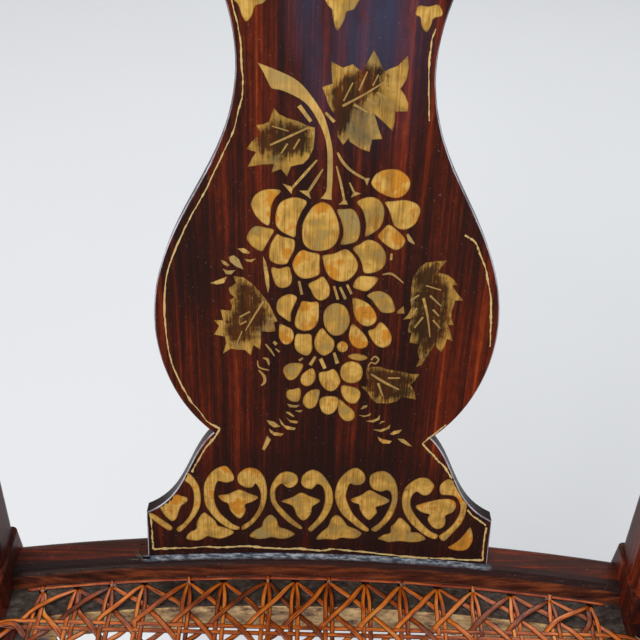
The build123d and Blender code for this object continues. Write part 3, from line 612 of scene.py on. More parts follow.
def spaced(points, step, closed=True):
    """Points along an outline, no further apart than a step."""
    result = []
    ends = zip(points, points[1:] + points[:1]) if closed else zip(points, points[1:])
    for (ax, ay), (bx, by) in ends:
        count = max(1, int(sqrt((bx - ax) ** 2 + (by - ay) ** 2) / step + 0.5))
        result += [(ax + (bx - ax) * i / count, ay + (by - ay) * i / count) for i in range(count)]
    if not closed:
        result.append(points[-1])
    return result


def between_two(t, a, b, c, d):
    """The value at a share t of the way from b to c on a smooth line through a, b, c and d."""
    square, cube = 2 * a - 5 * b + 4 * c - d, 3 * b - a - 3 * c + d
    return 0.5 * (2 * b + (c - a) * t + square * t * t + cube * t**3)


def curved(points, closed=True, per=4):
    """A smooth line through a few points."""
    count = len(points)
    result = []
    for i in range(count if closed else count - 1):
        if closed:
            near = [points[(i + k) % count] for k in (-1, 0, 1, 2)]
        else:
            near = [points[min(max(i + k, 0), count - 1)] for k in (-1, 0, 1, 2)]
        result += [tuple(between_two(k / per, *four) for four in zip(*near)) for k in range(per)]
    if not closed:
        result.append(tuple(points[-1]))
    return result


def distance_to(point, outline):
    """Distance from a point to the nearest part of an outline."""
    x, y = point
    best = 1e9
    for (ax, ay), (bx, by) in zip(outline, outline[1:] + outline[:1]):
        dx, dy = bx - ax, by - ay
        size = dx * dx + dy * dy or 1e-12
        t = max(0, min(1, ((x - ax) * dx + (y - ay) * dy) / size))
        best = min(best, (x - ax - dx * t) ** 2 + (y - ay - dy * t) ** 2)
    return sqrt(best)


def inside(point, outline):
    x, y = point
    odd = False
    for (ax, ay), (bx, by) in zip(outline, outline[1:] + outline[:1]):
        if (ay > y) != (by > y) and x < (bx - ax) * (y - ay) / (by - ay) + ax:
            odd = not odd
    return odd


# Inner points of a shape, as shares of their step: how near the outline they may lie, and between their rows
EDGE_ROOM = 0.45
ROW_STEP = 0.87


def flat_shape(outline, step):
    """Triangles that fill an outline, with inner points every step."""
    xs, ys = [p[0] for p in outline], [p[1] for p in outline]
    points = list(outline)
    row, y = 0, min(ys) + step / 2
    while y < max(ys):
        x = min(xs) + step / 2 * (1 + row % 2)
        while x < max(xs):
            if inside((x, y), outline) and distance_to((x, y), outline) > step * EDGE_ROOM:
                points.append((x, y))
            x += step
        y += step * ROW_STEP
        row += 1
    count = len(outline)
    edges = [(i, (i + 1) % count) for i in range(count)]
    verts, _, faces, *_ = delaunay_2d_cdt([Vector(p) for p in points], edges, [], 1, 1e-7)
    return [tuple(v) for v in verts], faces


# How far round a leaf's dark patches they fade, in pixels, how much plain paint varies in tone, and how much
# wider than along its outline a shape's inner points lie apart
CORE_SOFT = 12.0
TONE_SPREAD = 0.13
INNER_STEP = 1.6


def in_core(point, cores):
    """How deep a point lies in dark patches: one inside them, falling to nought a little way out."""
    best = 0.0
    for core in cores:
        best = max(best, 1.0 if inside(point, core) else 1 - distance_to(point, core) / CORE_SOFT)
    return best


def paint_object(name, verts, faces, material, kept):
    """A sheet of paint that faces the front."""
    obj = new_object(name, verts, faces, material, kept)
    if sum(p.normal.y for p in obj.data.polygons) > 0:
        obj.data.flip_normals()
    return rides(obj)


def paint(name, shapes, surface, material, step, tones=(), cores=(), greys=(), rim=RIM_PX):
    """Thin paint on a surface, one mesh for many outlines. surface(x, y) gives the place in space."""
    verts, faces = [], []
    kept = {"tone": [], "rim": [], "core": [], "grey": []}
    for number, shape in enumerate(shapes):
        tone = tones[number] if number < len(tones) else 0.5 + steady.uniform(-TONE_SPREAD, TONE_SPREAD)
        outline = spaced(shape, step)
        flat, triangles = flat_shape(outline, step * INNER_STEP)
        index = {}
        for i, p in enumerate(flat):
            spot = surface(*p)
            if spot is None:
                continue
            index[i] = len(verts)
            verts.append(spot)
            kept["tone"].append(tone)
            kept["rim"].append(min(1.0, distance_to(p, outline) / rim))
            kept["core"].append(in_core(p, cores))
            kept["grey"].append(in_core(p, greys))
        faces += [[index[i] for i in face] for face in triangles if all(i in index for i in face)]
    return paint_object(name, verts, faces, material, kept)


def across_line(line, i):
    """Unit direction across a line at one of its points."""
    (ax, ay), (bx, by) = line[max(i - 1, 0)], line[min(i + 1, len(line) - 1)]
    size = sqrt((bx - ax) ** 2 + (by - ay) ** 2) or 1
    return -(by - ay) / size, (bx - ax) / size


def band(points, widths):
    """Outline of a line that changes width, through a few points."""
    line = curved(points, closed=False, per=5) if len(points) > 2 else spaced(points, 2.5, closed=False)
    count = len(line)
    left, right = [], []
    for i, (x, y) in enumerate(line):
        nx, ny = across_line(line, i)
        at = i / (count - 1) * (len(widths) - 1)
        k = min(int(at), len(widths) - 2)
        half = (widths[k] + (widths[k + 1] - widths[k]) * (at - k)) / 2
        left.append((x + nx * half, y + ny * half))
        right.append((x - nx * half, y - ny * half))
    return left + right[::-1]


def brushed(*rows):
    """Outlines of brushed lines, each a row of numbers: two for each point along it, and its width there."""
    return [band(list(zip(row[::3], row[1::3])), row[2::3]) for row in rows]


# Stencil shapes on the splat, in pixels of the picture. First the grapes, each row with its tone before its
# outline: 0 grey, 1 orange
GRAPE_ROWS = (
    (0.55, 251, 203, 255, 195, 263, 190, 273, 189, 281, 191, 275, 198, 271.5, 206, 270.5, 215, 269, 225,
     263, 223, 256, 216, 252, 208),
    (0.6, 292, 197.5, 299.5, 198, 307, 202, 302, 211, 298, 220, 296, 228, 295, 237, 288, 235, 281, 231, 276,
     225, 275.5, 216, 278, 206, 283, 200.5),
    (0.5, 322, 202, 314, 205.5, 308, 213, 303, 223, 302, 233, 303.5, 243, 309.5, 249, 319, 251, 329, 249,
     336, 243, 339, 234.5, 339, 225, 336, 215, 331, 206, 326, 203),
    (0.2, 337, 210, 344, 209, 352.5, 209, 357.5, 215, 360, 223, 360, 233, 357.5, 240, 352.5, 243, 341,
     244.5, 343, 236, 343, 228, 341, 220),
    (0.35, 357, 202, 364, 198, 372.5, 197, 380, 200.5, 384, 208, 384, 216, 381.5, 225, 376, 231, 365.5,
     236.5, 366, 228, 365.5, 220, 362.5, 210),
    (0.72, 371.5, 181.5, 376, 174, 384, 170, 394, 169, 402, 171.5, 409, 178, 410, 186, 405.5, 194, 397, 198,
     387, 196, 377.5, 191, 372.5, 186),
    (0.55, 385, 202, 394, 201, 405.5, 200, 415.5, 203, 420, 208, 419.5, 215, 415, 224, 407, 229, 400, 229,
     394, 225, 391, 216, 388, 208),
    (0.4, 247, 236, 250, 230, 256, 226, 266, 227.5, 274, 230, 270, 238, 265.5, 246, 262, 251, 256, 249,
     250.5, 244.5, 247, 239.5),
    (0.55, 277.5, 234, 282.5, 236.5, 293, 239, 295, 243, 294, 250, 289.5, 259, 286, 264, 277.5, 264, 270.5,
     260.5, 269, 254, 270.5, 245, 274, 238),
    (0.62, 301.5, 250, 310, 252, 319.5, 254.5, 319.5, 264, 319.5, 273.5, 312, 277.5, 303, 278.5, 296.5,
     274.5, 292.5, 266, 294.5, 258),
    (0.6, 323, 255.5, 334, 253.5, 345.5, 249, 353, 254.5, 357.5, 262, 357.5, 269, 353, 276, 346, 281, 337.5,
     281, 330, 277, 325, 269, 323.5, 262),
    (0.45, 353, 248.5, 360, 244, 368.5, 239.5, 379, 243.5, 385, 252, 386, 260.5, 383, 267.5, 375.5, 272,
     364.5, 273, 362, 264, 358, 255.5),
    (0.6, 378, 235.5, 383, 229.5, 389, 224.5, 398, 231, 405, 239, 403, 246, 396, 250, 387.5, 246, 380.5, 240),
    (0.6, 271.5, 267.5, 279, 268.5, 288.5, 266.5, 291, 272.5, 292, 279.5, 289.5, 285.5, 282.5, 288, 276.5,
     285.5, 273, 278),
    (0.5, 308.5, 284, 317, 279.5, 323, 276.5, 328, 283, 330, 290, 328, 297, 320.5, 300.5, 314.5, 297, 311,
     290),
    (0.45, 353, 286.5, 358, 277, 367, 276, 378, 278, 374, 285.5, 367, 291, 360, 290),
    (0.4, 367, 295.5, 374, 291.5, 382.5, 291.5, 391, 297.5, 395, 309, 392, 312.5, 382.5, 312.5, 377, 307,
     372, 300),
    (0.55, 297, 297.5, 291, 294, 284, 295.5, 278, 300, 276.5, 307, 278, 313, 284, 318, 290.5, 321.5, 291,
     313, 294, 305.5),
    (0.68, 302.5, 301, 311, 302, 318, 302, 319, 310.5, 318, 321, 313.5, 328, 305, 331, 297, 328, 294.5,
     322.5, 296.5, 314, 300, 305.5),
    (0.3, 336.5, 303, 344.5, 306, 349, 314, 349.5, 322.5, 346, 330.5, 340, 335, 332.5, 335, 326.5, 329.5,
     323.5, 321, 324, 312, 329, 305.5),
    (0.66, 353, 298, 362, 300, 370.5, 305.5, 375.5, 313, 376.5, 320, 372, 325, 365, 326, 358, 321.5, 354,
     314, 353, 305.5),
    (0.62, 280, 324, 286, 326, 292, 329.5, 294, 336.5, 291, 342.5, 286, 344.5, 282, 342.5, 279, 336.5, 279,
     329.5),
    (0.5, 296.5, 334, 303, 334, 311, 334.5, 312, 343, 312, 350, 307.5, 355.5, 300.5, 353.5, 295.5, 349,
     294.5, 341.5),
    (0.55, 322, 328, 328, 334.5, 334, 340.5, 333.5, 348.5, 329, 353.5, 323, 355.5, 317, 351, 314.5, 345,
     315.5, 336.5),
    (0.62, 352.5, 324, 360, 329.5, 366, 336.5, 368, 342.5, 366, 347, 359, 348.5, 352.5, 345, 349, 338,
     349.5, 331),
    (0.62, 368, 331, 374.5, 328.5, 380.5, 322, 387.5, 328, 391.5, 336.5, 390, 344, 384, 347.5, 377.5, 346,
     372, 340),
    (0.5, 342.4, 341, 346.5, 343, 348, 346.6, 346.5, 350.5, 342.4, 352.2, 338.5, 350.5, 336.9, 346.6, 338.5,
     343),
    (0.4, 348, 356, 355, 353.5, 363.5, 355, 367.5, 358, 362, 360.5, 353, 359.5),
    (0.4, 283.5, 372.5, 284.5, 366.5, 291, 363, 303, 364, 300, 372.5, 294.5, 379, 288, 379.5),
    (0.55, 312, 368, 315.5, 374, 314.5, 381, 308.5, 386, 302.5, 384.5, 300.5, 379.5, 303, 373.5),
    (0.5, 319, 373, 327.5, 371, 334, 369, 339, 376, 340, 383, 334, 390.5, 326.5, 390, 320.5, 383),
    (0.5, 340.2, 372.2, 343, 364.5, 351.5, 361.2, 360, 364.5, 362.8, 372.2, 360, 380, 351.5, 383.2, 343, 380),
    (0.35, 287, 390.5, 294, 389, 300, 388, 300.5, 396.5, 298, 401.5, 291, 401, 286.5, 396.5),
    (0.4, 319, 389.5, 319, 396.5, 315.5, 406, 308.5, 408.5, 303, 403.5, 304, 396.5, 310, 390.5),
    (0.5, 320.5, 398.5, 327.5, 396, 337.5, 397.5, 338, 405, 334, 412, 328, 414.5, 322, 411.5, 319.5, 404.5),
    (0.5, 339, 399, 346, 404.5, 354, 411.5, 353.5, 419, 346, 421, 339.5, 415.5, 338, 407),
    (0.5, 342, 385.5, 349.5, 386, 358, 389, 360.5, 395, 356.5, 402.5, 349.5, 403, 343.5, 397.5, 341, 390.5),
)
GRAPES = [(tone, pairs(*numbers)) for tone, *numbers in GRAPE_ROWS]
paint(
    "stencil_grapes",
    [curved(grape, per=3) for tone, grape in GRAPES],
    on_splat,
    grape_gold,
    2.2,
    tones=[tone for tone, grape in GRAPES],
)

LEAVES = outlines(
    # upper right
    (331.5, 61.5, 343, 67.5, 353, 64, 356.5, 67.5, 362.5, 71, 368, 61, 374, 50, 379, 59, 384, 71, 398, 65.5,
     408, 55.5, 409, 67.5, 406.5, 79.5, 400.5, 89, 405, 95, 408.5, 103.5, 408, 111.5, 395.5, 111.5, 394.5,
     122.5, 392.5, 131, 384, 122.5, 374.5, 114, 377, 122.5, 379, 129.5, 382.5, 139, 372, 139.5, 369.5, 152,
     360, 148.5, 349.5, 141.5, 349, 138, 343, 145, 337.5, 136.5, 337.5, 124, 337.5, 115.5, 332.5, 112, 328,
     103.5, 325.5, 95, 322, 87, 332.5, 83.5, 331.5, 72.5),
    # upper left
    (274, 107.5, 279, 114, 287.5, 118, 298, 121, 308.5, 126, 315, 127.5, 314.5, 138, 313.5, 148.5, 308.5,
     158.5, 303, 164, 299, 164.5, 291, 166.5, 287, 176.5, 281, 169, 271.5, 172.5, 274, 164, 262, 164.5,
     247.5, 167, 252.5, 157, 256, 152, 246.5, 149, 251.5, 141.5, 261, 133.5, 256, 125, 263.5, 124, 269,
     121.5, 271.5, 114),
    # lower left
    (233.5, 276, 243, 277, 251.5, 283, 260, 291.5, 269, 303.5, 277.5, 321, 274, 322.5, 275.5, 331, 269, 332,
     261, 331, 261, 341.5, 260, 349.5, 253.5, 345, 251, 355.5, 245, 350, 236, 349.5, 231, 348.5, 223, 353.5,
     226, 343.5, 225, 336.5, 214, 334.5, 219, 326, 214, 320, 223, 320, 220.5, 309.5, 231, 310.5, 232, 305.5,
     229.5, 300, 234.5, 297, 230, 293.5, 228.5, 288, 236, 283),
    # right
    (411.5, 286.5, 413, 278, 419, 268, 426, 262.5, 437, 261, 447, 260.5, 441, 267.5, 438.5, 272.5, 447,
     274.5, 454, 279.5, 457.5, 285, 452.5, 285.5, 456.5, 292, 463, 300.5, 455, 300.5, 454, 306, 451.5,
     311.5, 451.5, 318.5, 453.5, 325, 448, 325, 450.5, 332.5, 452.5, 341, 447, 339, 444.5, 346.5, 441, 352,
     437, 348, 435, 344.5, 430.5, 351, 424.5, 360, 421.5, 365, 416, 367, 419.5, 359.5, 417.5, 351, 419,
     344.5, 409.5, 342.5, 410.5, 337, 411.5, 333, 408, 332, 408, 327, 410.5, 320.5, 411.5, 318.5, 403,
     319.5, 408, 314.5, 411.5, 307.5, 410.5, 300.5),
    # the right one's tip
    (397, 311.5, 403.5, 306, 404.5, 313.5, 397.5, 313.5),
    # lower right
    (367, 367, 380, 366.5, 386.5, 369, 403.5, 372, 411.5, 374, 419.5, 374, 415, 380.5, 410.5, 384.5, 414.5,
     391.5, 416, 399.5, 407.5, 398, 402, 396.5, 396.5, 401.5, 388, 403.5, 376.5, 403, 371, 398.5, 368, 393,
     361, 386.5, 367, 386, 368, 380.5, 366, 373.5),
)
LEAF_CORES = outlines(
    (341, 84, 350, 78, 362, 76, 371, 70, 377, 72, 375, 86, 364, 94, 354, 101, 348, 107, 344, 120, 341, 128,
     339, 116, 338, 104, 336, 94),
    (262, 136, 275, 129, 290, 128, 302, 132, 305, 140, 300, 148, 290, 152, 276, 150, 264, 146),
    (243, 287, 250, 290, 258, 299, 264, 310, 260, 318, 252, 328, 246, 335, 237, 337, 231, 331, 234, 321,
     238, 313, 241, 300),
    (421, 276, 432, 268, 438, 281, 443, 291, 443, 302, 442, 316, 440, 330, 432, 339, 425, 348, 421, 340,
     417, 326, 419, 312, 420, 300, 417, 286),
    (373, 372, 386, 373.5, 400, 377, 407, 379.5, 403, 387, 407, 393.5, 396, 394.5, 384, 397, 375, 392, 371,
     386, 373, 379),
)
LEAF_GREYS = outlines(
    (342, 112, 356, 108, 368, 113, 374, 124, 376, 135, 366, 144, 356, 143, 346, 138, 341, 126),
    (364, 70, 374, 54, 380, 66, 376, 78, 366, 80),
    (262, 318, 272, 322, 272, 330, 258, 332),
)
paint("stencil_leaves", LEAVES, on_splat, leaf_gold, 1.8, cores=LEAF_CORES, greys=LEAF_GREYS, rim=5.0)

STEM_RIGHT = pairs(
    257.5, 62.5, 265.5, 65.5, 279, 71, 293, 77.5, 303, 85.5, 310, 94, 317, 103.5, 324, 115.5, 328, 127.5,
    330.5, 138, 332.5, 148.5, 333, 165.5, 332.5, 182, 331.5, 196, 332, 200,
)
STEM_LEFT = pairs(
    263.5, 72.5, 268.5, 83, 272, 88.5, 279, 89.5, 287.5, 92.5, 299.5, 98.5, 308.5, 106, 315, 115.5, 320.5,
    126, 324, 134.5, 326.5, 145, 327.5, 157, 327, 180, 326, 191.5, 320.5, 198.5,
)
STEM_FEET = outlines(
    (282.5, 183.5, 293, 187, 291.5, 194),
    (299, 190.5, 308.5, 190.5, 311, 199),
    (338.5, 204.5, 343, 200.5, 346, 200.5, 348, 204.5),
    (351, 197.5, 354, 191, 361, 193.5),
    (363.5, 178, 370, 178, 367, 185.5),
)
STROKES = brushed(
    (299, 105.5, 4.5, 311, 121.5, 3.6), (325.5, 112.5, 2.6, 334.5, 122, 3.4),
    (317, 160, 1.6, 305, 173.5, 3, 292, 188, 2.4), (323, 169, 1.4, 316, 180, 3, 308.5, 191.5, 2.6),
    (336.5, 166, 1.4, 341, 184, 2.6, 344.5, 201.5, 2.4), (349.5, 182.5, 1.2, 354, 192, 2.4),
    (337.5, 152.5, 2, 342.5, 161.5, 3, 351, 170.5, 2.7, 364, 178.5, 2.4), (299, 281, 2.5, 302, 294.5, 2.6),
    (334, 286, 2.5, 338, 299.5, 2.6), (340, 287, 2.5, 345.5, 299, 3), (347, 284.5, 2.4, 351.5, 294, 2.6),
    (315.5, 356.5, 2.8, 310, 365, 3.4), (320.5, 358.5, 4, 325, 368.5, 3.6),
    (334, 352.5, 2.6, 337.5, 363.5, 4), (303, 358, 1.6, 299, 360.5, 2.4),
    (265.5, 344, 1.4, 270.5, 350, 2.2, 274.5, 356, 1), (273.5, 341.5, 2.6, 276.5, 344.5, 3.2),
    (275.5, 348.5, 1.2, 279.5, 352, 2), (263, 358, 1, 267.5, 359.5, 3, 269, 365, 1.6),
    (257.5, 360.5, 1, 258.5, 366.5, 1.4, 263.5, 369, 1.6, 269, 370, 1),
    (258.5, 370, 1, 264, 376, 3, 264.5, 382, 3, 261, 385.5, 1),
    (382.5, 274.5, 1.2, 392, 274, 2.4, 403.5, 283, 1), (407.5, 234, 2, 410, 239.5, 4.4, 414.5, 244, 1),
    (391.5, 253.5, 2.4, 391, 260, 2.6),
    (371, 360, 1.4, 375, 356.5, 1.6, 378.5, 359.5, 1.8, 375.5, 363.5, 1.6, 371, 362.5, 1.4, 368, 366.5, 1.2),
)
PETALS = outlines(
    (228.5, 257, 233.5, 255, 239, 259, 243.5, 269.5, 236, 266.5, 230, 261.5),
    (237.5, 248.5, 244, 248, 250, 252, 249, 254, 243, 253),
    (244.5, 259, 250, 259.5, 256, 258.5, 251.5, 262, 247, 261.5),
    (221, 260, 225, 261, 229.5, 265, 227.5, 266.5, 223, 264),
    (222.5, 268.5, 227.5, 270.5, 235.5, 270, 231, 274.5, 226, 274),
    (210, 283, 219, 279.5, 227, 276.5, 224, 283, 217, 284.5),
    (263, 256, 266, 262, 269, 276, 269.5, 286.5, 268, 293, 265.5, 283, 263.5, 267.5),
    (287, 403.5, 293, 405, 300, 405, 296.5, 407.5, 289.5, 407),
    (294.5, 410.5, 303, 410, 300, 412.5),
    (285.5, 411.5, 289.5, 412, 294.5, 416, 293, 417, 288, 414),
    (285.5, 416.5, 289.5, 420, 298, 421, 297, 423.5, 290.5, 422.5),
    (279, 418, 284.5, 425, 296, 428, 294, 430, 287, 429.5, 281, 424),
    (266.5, 420, 274, 421.5, 280.5, 426.5, 274, 427.5, 269, 424),
    (269, 428.5, 274, 432, 284, 433.5, 281, 436, 274, 435.5, 270, 432),
    (267, 435.5, 271, 439.5, 268, 445, 264.5, 450.5, 262, 449, 264.5, 442.5),
    (360.5, 409, 363.5, 405.5, 367.5, 405, 367, 407, 362.5, 409),
    (358.5, 415, 365.5, 415.5, 371, 413, 370, 415.5, 364, 417),
    (365.5, 421, 372.5, 420, 377.5, 418, 380, 414.5, 379.5, 419.5, 373, 422.5),
    (379, 424, 381.5, 421, 385.5, 421, 381.5, 423),
    (372.5, 429.5, 380, 429.5, 386.5, 427.5, 390.5, 424.5, 389.5, 428.5, 381, 432),
    (390, 434, 393.5, 431, 402, 429.5, 399, 433, 393, 435),
    (377.5, 436.5, 382.5, 439, 392, 441, 389.5, 443.5, 383, 443.5, 379, 440.5),
    (397.5, 438.5, 404, 439, 412.5, 446.5, 407.5, 445.5, 401, 442),
)
stem = curved(STEM_RIGHT, closed=False, per=2) + curved(STEM_LEFT, closed=False, per=2)[::-1]
paint("stencil_stem", [stem] + STEM_FEET + STROKES + PETALS, on_splat, stem_gold, 1.5, rim=4.0)

VEINS = brushed(
    (342.5, 106, 2.6, 364, 94.5, 2, 385, 81.5, 1.2), (343.5, 101, 1.6, 353, 82.5, 1.4),
    (359, 90.5, 2, 367.5, 71.5, 1.4), (373, 85.5, 1.6, 378.5, 74.5, 1.2), (377, 92.5, 2.2, 386, 98, 1.8),
    (367, 98.5, 3, 376.5, 104.5, 2), (354, 104.5, 2.8, 367.5, 112, 1.6), (386.5, 87, 1.6, 395.5, 93, 1.4),
    (270, 145, 1.8, 290, 136, 2.2, 308.5, 127.5, 2), (272, 126, 1.3, 288.5, 131, 1.3),
    (281, 153.5, 1.4, 287.5, 143.5, 2), (293.5, 149, 1.4, 299.5, 139, 2),
    (263.5, 301, 2.4, 254, 316, 1.7, 245.5, 330.5, 1), (250, 311.5, 1.8, 239.5, 317, 1.4),
    (246.5, 321, 1.8, 240, 324.5, 1.4), (242, 331, 1.2, 237, 343.5, 1),
    (423.5, 298, 3, 427.5, 316, 2.2, 430, 337, 1.2), (426, 285.5, 1.3, 441, 290, 1.2),
    (430, 295.5, 2.2, 441, 306, 1.3), (433, 309.5, 2, 439, 316, 1.3), (433, 320, 2, 440.5, 328.5, 1.3),
    (410.5, 300.5, 1.4, 419, 295, 1.8), (409, 318.5, 1.6, 417, 308, 2), (414.5, 327.5, 1.6, 423, 317, 2),
    (371, 374, 1.6, 385, 382.5, 2.6, 399, 389.5, 1.4), (388, 378, 1.6, 400, 378, 1.3),
    (378, 383, 2.4, 383, 396.5, 1.3),
)
over_leaves = painted_on(splat_tree, from_camera, PAINT_PROUD * 1.6)
paint("stencil_veins", VEINS, over_leaves, stem_gold, 1.4, rim=4.0)

# Hearts along the splat's foot, each of two hooked halves and a leaf between, with leaves below
HEARTS = outlines(
    (234, 478.5, 232.5, 473, 226.5, 466, 219.5, 467, 212.5, 471, 207, 478, 204, 485.5, 204, 495, 205, 503.5,
     209, 510.5, 215, 518, 222, 524, 230.5, 529, 238, 529.5, 239.5, 527, 233, 524, 225.5, 518, 219.5, 512,
     215.5, 504.5, 214, 496, 215, 487.5, 218, 481, 225.5, 482.5, 232, 481),
    (237.5, 479, 238.5, 474, 244, 469, 251, 467.5, 258.5, 470, 264, 477, 266.5, 485.5, 267, 495, 264.5, 506,
     259.5, 515.5, 252.5, 524, 245, 529, 242, 529.5, 242.5, 525.5, 250, 520.5, 256, 513, 259.5, 506, 261,
     496, 259.5, 489, 255.5, 483.5, 252.5, 487, 246.5, 487.5, 239.5, 484),
    (218.5, 495.5, 228, 494, 239, 489.5, 248.5, 493, 258, 497, 252.5, 501.5, 245, 504.5, 245.5, 509.5, 244,
     514.5, 239.5, 518.5, 234, 514.5, 230, 509.5, 228, 503.5, 222.5, 501),
    (298, 481, 296, 474.5, 288.5, 471.5, 281.5, 472.5, 275.5, 478, 271, 486.5, 270, 495, 272, 503.5, 278,
     512, 286.5, 520.5, 295, 526.5, 301.5, 529, 301, 526, 292.5, 519, 284, 510.5, 277, 502.5, 275, 494,
     276.5, 487.5, 282, 483.5, 287.5, 487.5, 293.5, 486.5),
    (301, 481.5, 303.5, 474.5, 310.5, 470, 315, 470, 321, 473, 328, 481.5, 332.5, 491.5, 333, 501, 330,
     510.5, 323.5, 520.5, 316, 527.5, 311, 531.5, 308, 528.5, 315, 521.5, 321, 513, 324.5, 503.5, 325, 494,
     322.5, 486.5, 317.5, 484, 314, 487, 311, 489, 304, 487),
    (281.5, 501, 292.5, 497, 301, 492.5, 309.5, 496, 320, 500, 317, 503.5, 312, 507, 310.5, 514.5, 303.5,
     520.5, 297, 515.5, 293.5, 507, 287.5, 503.5),
    (365.5, 479, 363.5, 472.5, 357.5, 468, 351, 469, 344, 474, 338.5, 481, 335.5, 490, 335, 497.5, 337.5,
     506, 342.5, 514.5, 351, 522, 359.5, 528.5, 367, 531.5, 368.5, 528.5, 361, 522, 353.5, 514.5, 349, 506,
     346, 497.5, 347, 490, 350, 483.5, 355, 485, 362, 484),
    (369.5, 481, 370.5, 475.5, 376, 472, 384, 471, 390.5, 474.5, 395.5, 481.5, 397.5, 490, 397.5, 500, 395,
     509.5, 390, 519, 382.5, 526.5, 376, 531.5, 371, 529, 379, 523, 385, 515.5, 389.5, 507, 392, 498.5,
     390.5, 492, 386.5, 490, 381.5, 491.5, 374, 489.5, 370.5, 485.5),
    (351, 499, 361, 495, 369.5, 490, 378, 494, 389.5, 500, 384, 504.5, 376, 507, 377, 512, 374, 516, 369,
     520, 363.5, 515.5, 360, 509.5, 359, 504.5, 353.5, 502.5),
    (434, 487.5, 432.5, 482.5, 427, 478, 419, 478, 412, 481.5, 405.5, 487.5, 402.5, 496, 402, 503.5, 404,
     512, 409.5, 521.5, 418, 530, 426.5, 536, 435, 539, 438, 535, 431, 531.5, 422.5, 524, 415.5, 515.5, 411,
     507, 410.5, 500, 413, 494.5, 417, 491.5, 422.5, 495, 428.5, 494.5),
    (439.5, 490, 441, 484, 448, 479, 454, 481, 459, 486.5, 463.5, 494, 466.5, 503.5, 465.5, 513, 461.5, 523,
     453, 532.5, 444, 541, 439, 536, 447, 530, 454, 523, 459, 514.5, 460.5, 507, 458.5, 500, 454, 496, 448,
     495, 441.5, 494.5),
    (415.5, 506.5, 421.5, 503.5, 431, 501, 441, 499, 449.5, 499, 455, 501.5, 456, 506, 453, 512, 445.5,
     515.5, 445.5, 520.5, 443.5, 526.5, 437, 529, 431, 525.5, 427.5, 519, 429.5, 514.5, 421.5, 512),
    (203.5, 512.5, 209, 515.5, 215, 520.5, 218, 525.5, 225.5, 527.5, 234, 531.5, 229.5, 535.5, 221, 538.5,
     213.5, 537.5, 207.5, 536, 202.5, 539, 195.5, 540.5, 186.5, 538.5, 189.5, 532.5, 196.5, 528.5, 197,
     521.5),
    (270, 514.5, 276.5, 519, 279, 526.5, 286.5, 529, 295, 534, 287.5, 538, 279, 538.5, 272, 537, 264.5,
     538.5, 256, 538.5, 249.5, 535.5, 255, 530, 261.5, 526.5, 263.5, 520.5),
    (336, 515, 342, 518, 347.5, 525.5, 355, 528.5, 361.5, 533, 357.5, 537.5, 350, 538.5, 341.5, 537.5,
     335.5, 539.5, 326, 539, 316, 539, 322, 531.5, 328, 526.5, 331, 519),
    (399.5, 517.5, 405.5, 521.5, 410.5, 527.5, 411, 532, 418, 532.5, 425.5, 538.5, 419, 541.5, 410.5, 542,
     399.5, 541, 389, 542, 382.5, 540, 378, 538.5, 384, 534.5, 390.5, 532.5, 391, 526.5, 395, 523),
    (188, 473, 194, 478, 198.5, 485.5, 200.5, 494, 200.5, 503.5, 197, 513, 190.5, 521.5, 180.5, 531.5,
     176.5, 528.5, 183.5, 523, 189.5, 515.5, 193, 507, 194, 498.5, 193, 490, 189.5, 484, 184.5, 480),
    (159.5, 504, 166.5, 500, 175.5, 494.5, 182, 496, 187, 497.5, 187, 501.5, 181, 506, 178.5, 512, 176.5,
     518, 172, 521, 166.5, 517, 162.5, 512),
    (149, 513, 154, 514, 161.5, 519, 172, 526.5, 170, 530.5, 164, 527.5, 154, 520.5, 150, 517),
    (470.5, 527.5, 472.5, 534, 472, 542, 466.5, 549.5, 456.5, 550.5, 448, 547.5, 454, 543.5, 461.5, 537.5,
     467.5, 530),
)
HEART_TONES = [
    0.6, 0.62, 0.62, 0.45, 0.4, 0.42, 0.45, 0.4, 0.4, 0.5, 0.55, 0.55, 0.5, 0.3, 0.3, 0.35, 0.6, 0.55, 0.5,
    0.85,
]
paint("stencil_hearts", [curved(h, per=3) for h in HEARTS], on_splat, heart_gold, 1.8, tones=HEART_TONES)

# Pinstripe round the splat, in pixels of the picture, in runs that meet at its corners
PINSTRIPES = outlines(
    (231.5, 0, 235.5, 16, 239, 32, 241, 45, 241.5, 62, 243, 79.5, 242, 96.5, 237.5, 114, 233.5, 131, 225.5,
     148.5, 215.5, 169, 206.5, 188, 197, 205, 184, 230, 175, 250, 167, 275, 164.5, 300, 165, 320, 167, 340,
     171, 360, 179, 380, 190, 400, 200, 411.5, 207.5, 421.5, 220, 428.5),
    (220, 428.5, 214, 438, 205, 448.5, 200, 457, 191.5, 472),
    (150.5, 515.5, 152, 527.5, 152.5, 540, 153.5, 549),
    (153.5, 549, 166.5, 548.5, 193, 547.5, 207.5, 546.5, 222, 547.5, 245, 546, 263.5, 547.5, 281.5, 548.5,
     300, 548.5, 319.5, 550.5, 332, 549, 346.5, 550.5, 370.5, 552.5, 395, 555.5, 419, 557.5, 443.5, 558.5,
     467.5, 560, 483, 560),
    (483, 560, 482.8, 552, 484, 542, 486, 527.5),
    (486, 525.5, 479.5, 520.5, 472.5, 515.5, 467.5, 510),
    (452, 478.5, 448, 473, 444.5, 467, 438.5, 461, 434, 456, 428.5, 450.5, 422.5, 443.5),
    (422.5, 443.5, 434, 434.5, 446, 425),
    (436, 29, 432, 40, 429.5, 60, 429, 79.5, 429, 97, 429.5, 121),
    (465, 235, 475.5, 243, 480.5, 255.5, 485.5, 268, 488, 282, 490.5, 296, 491, 317, 490.5, 331, 490, 346.5),
)
PIN_WIDTH = 1.4
# A brushed line's waver and thickness: how much of each stays to the next step, and how much thickness varies
SWING_KEPT, THICK_KEPT = 0.6, 0.5
THICK_SPREAD = 0.16
THINNEST = 0.25


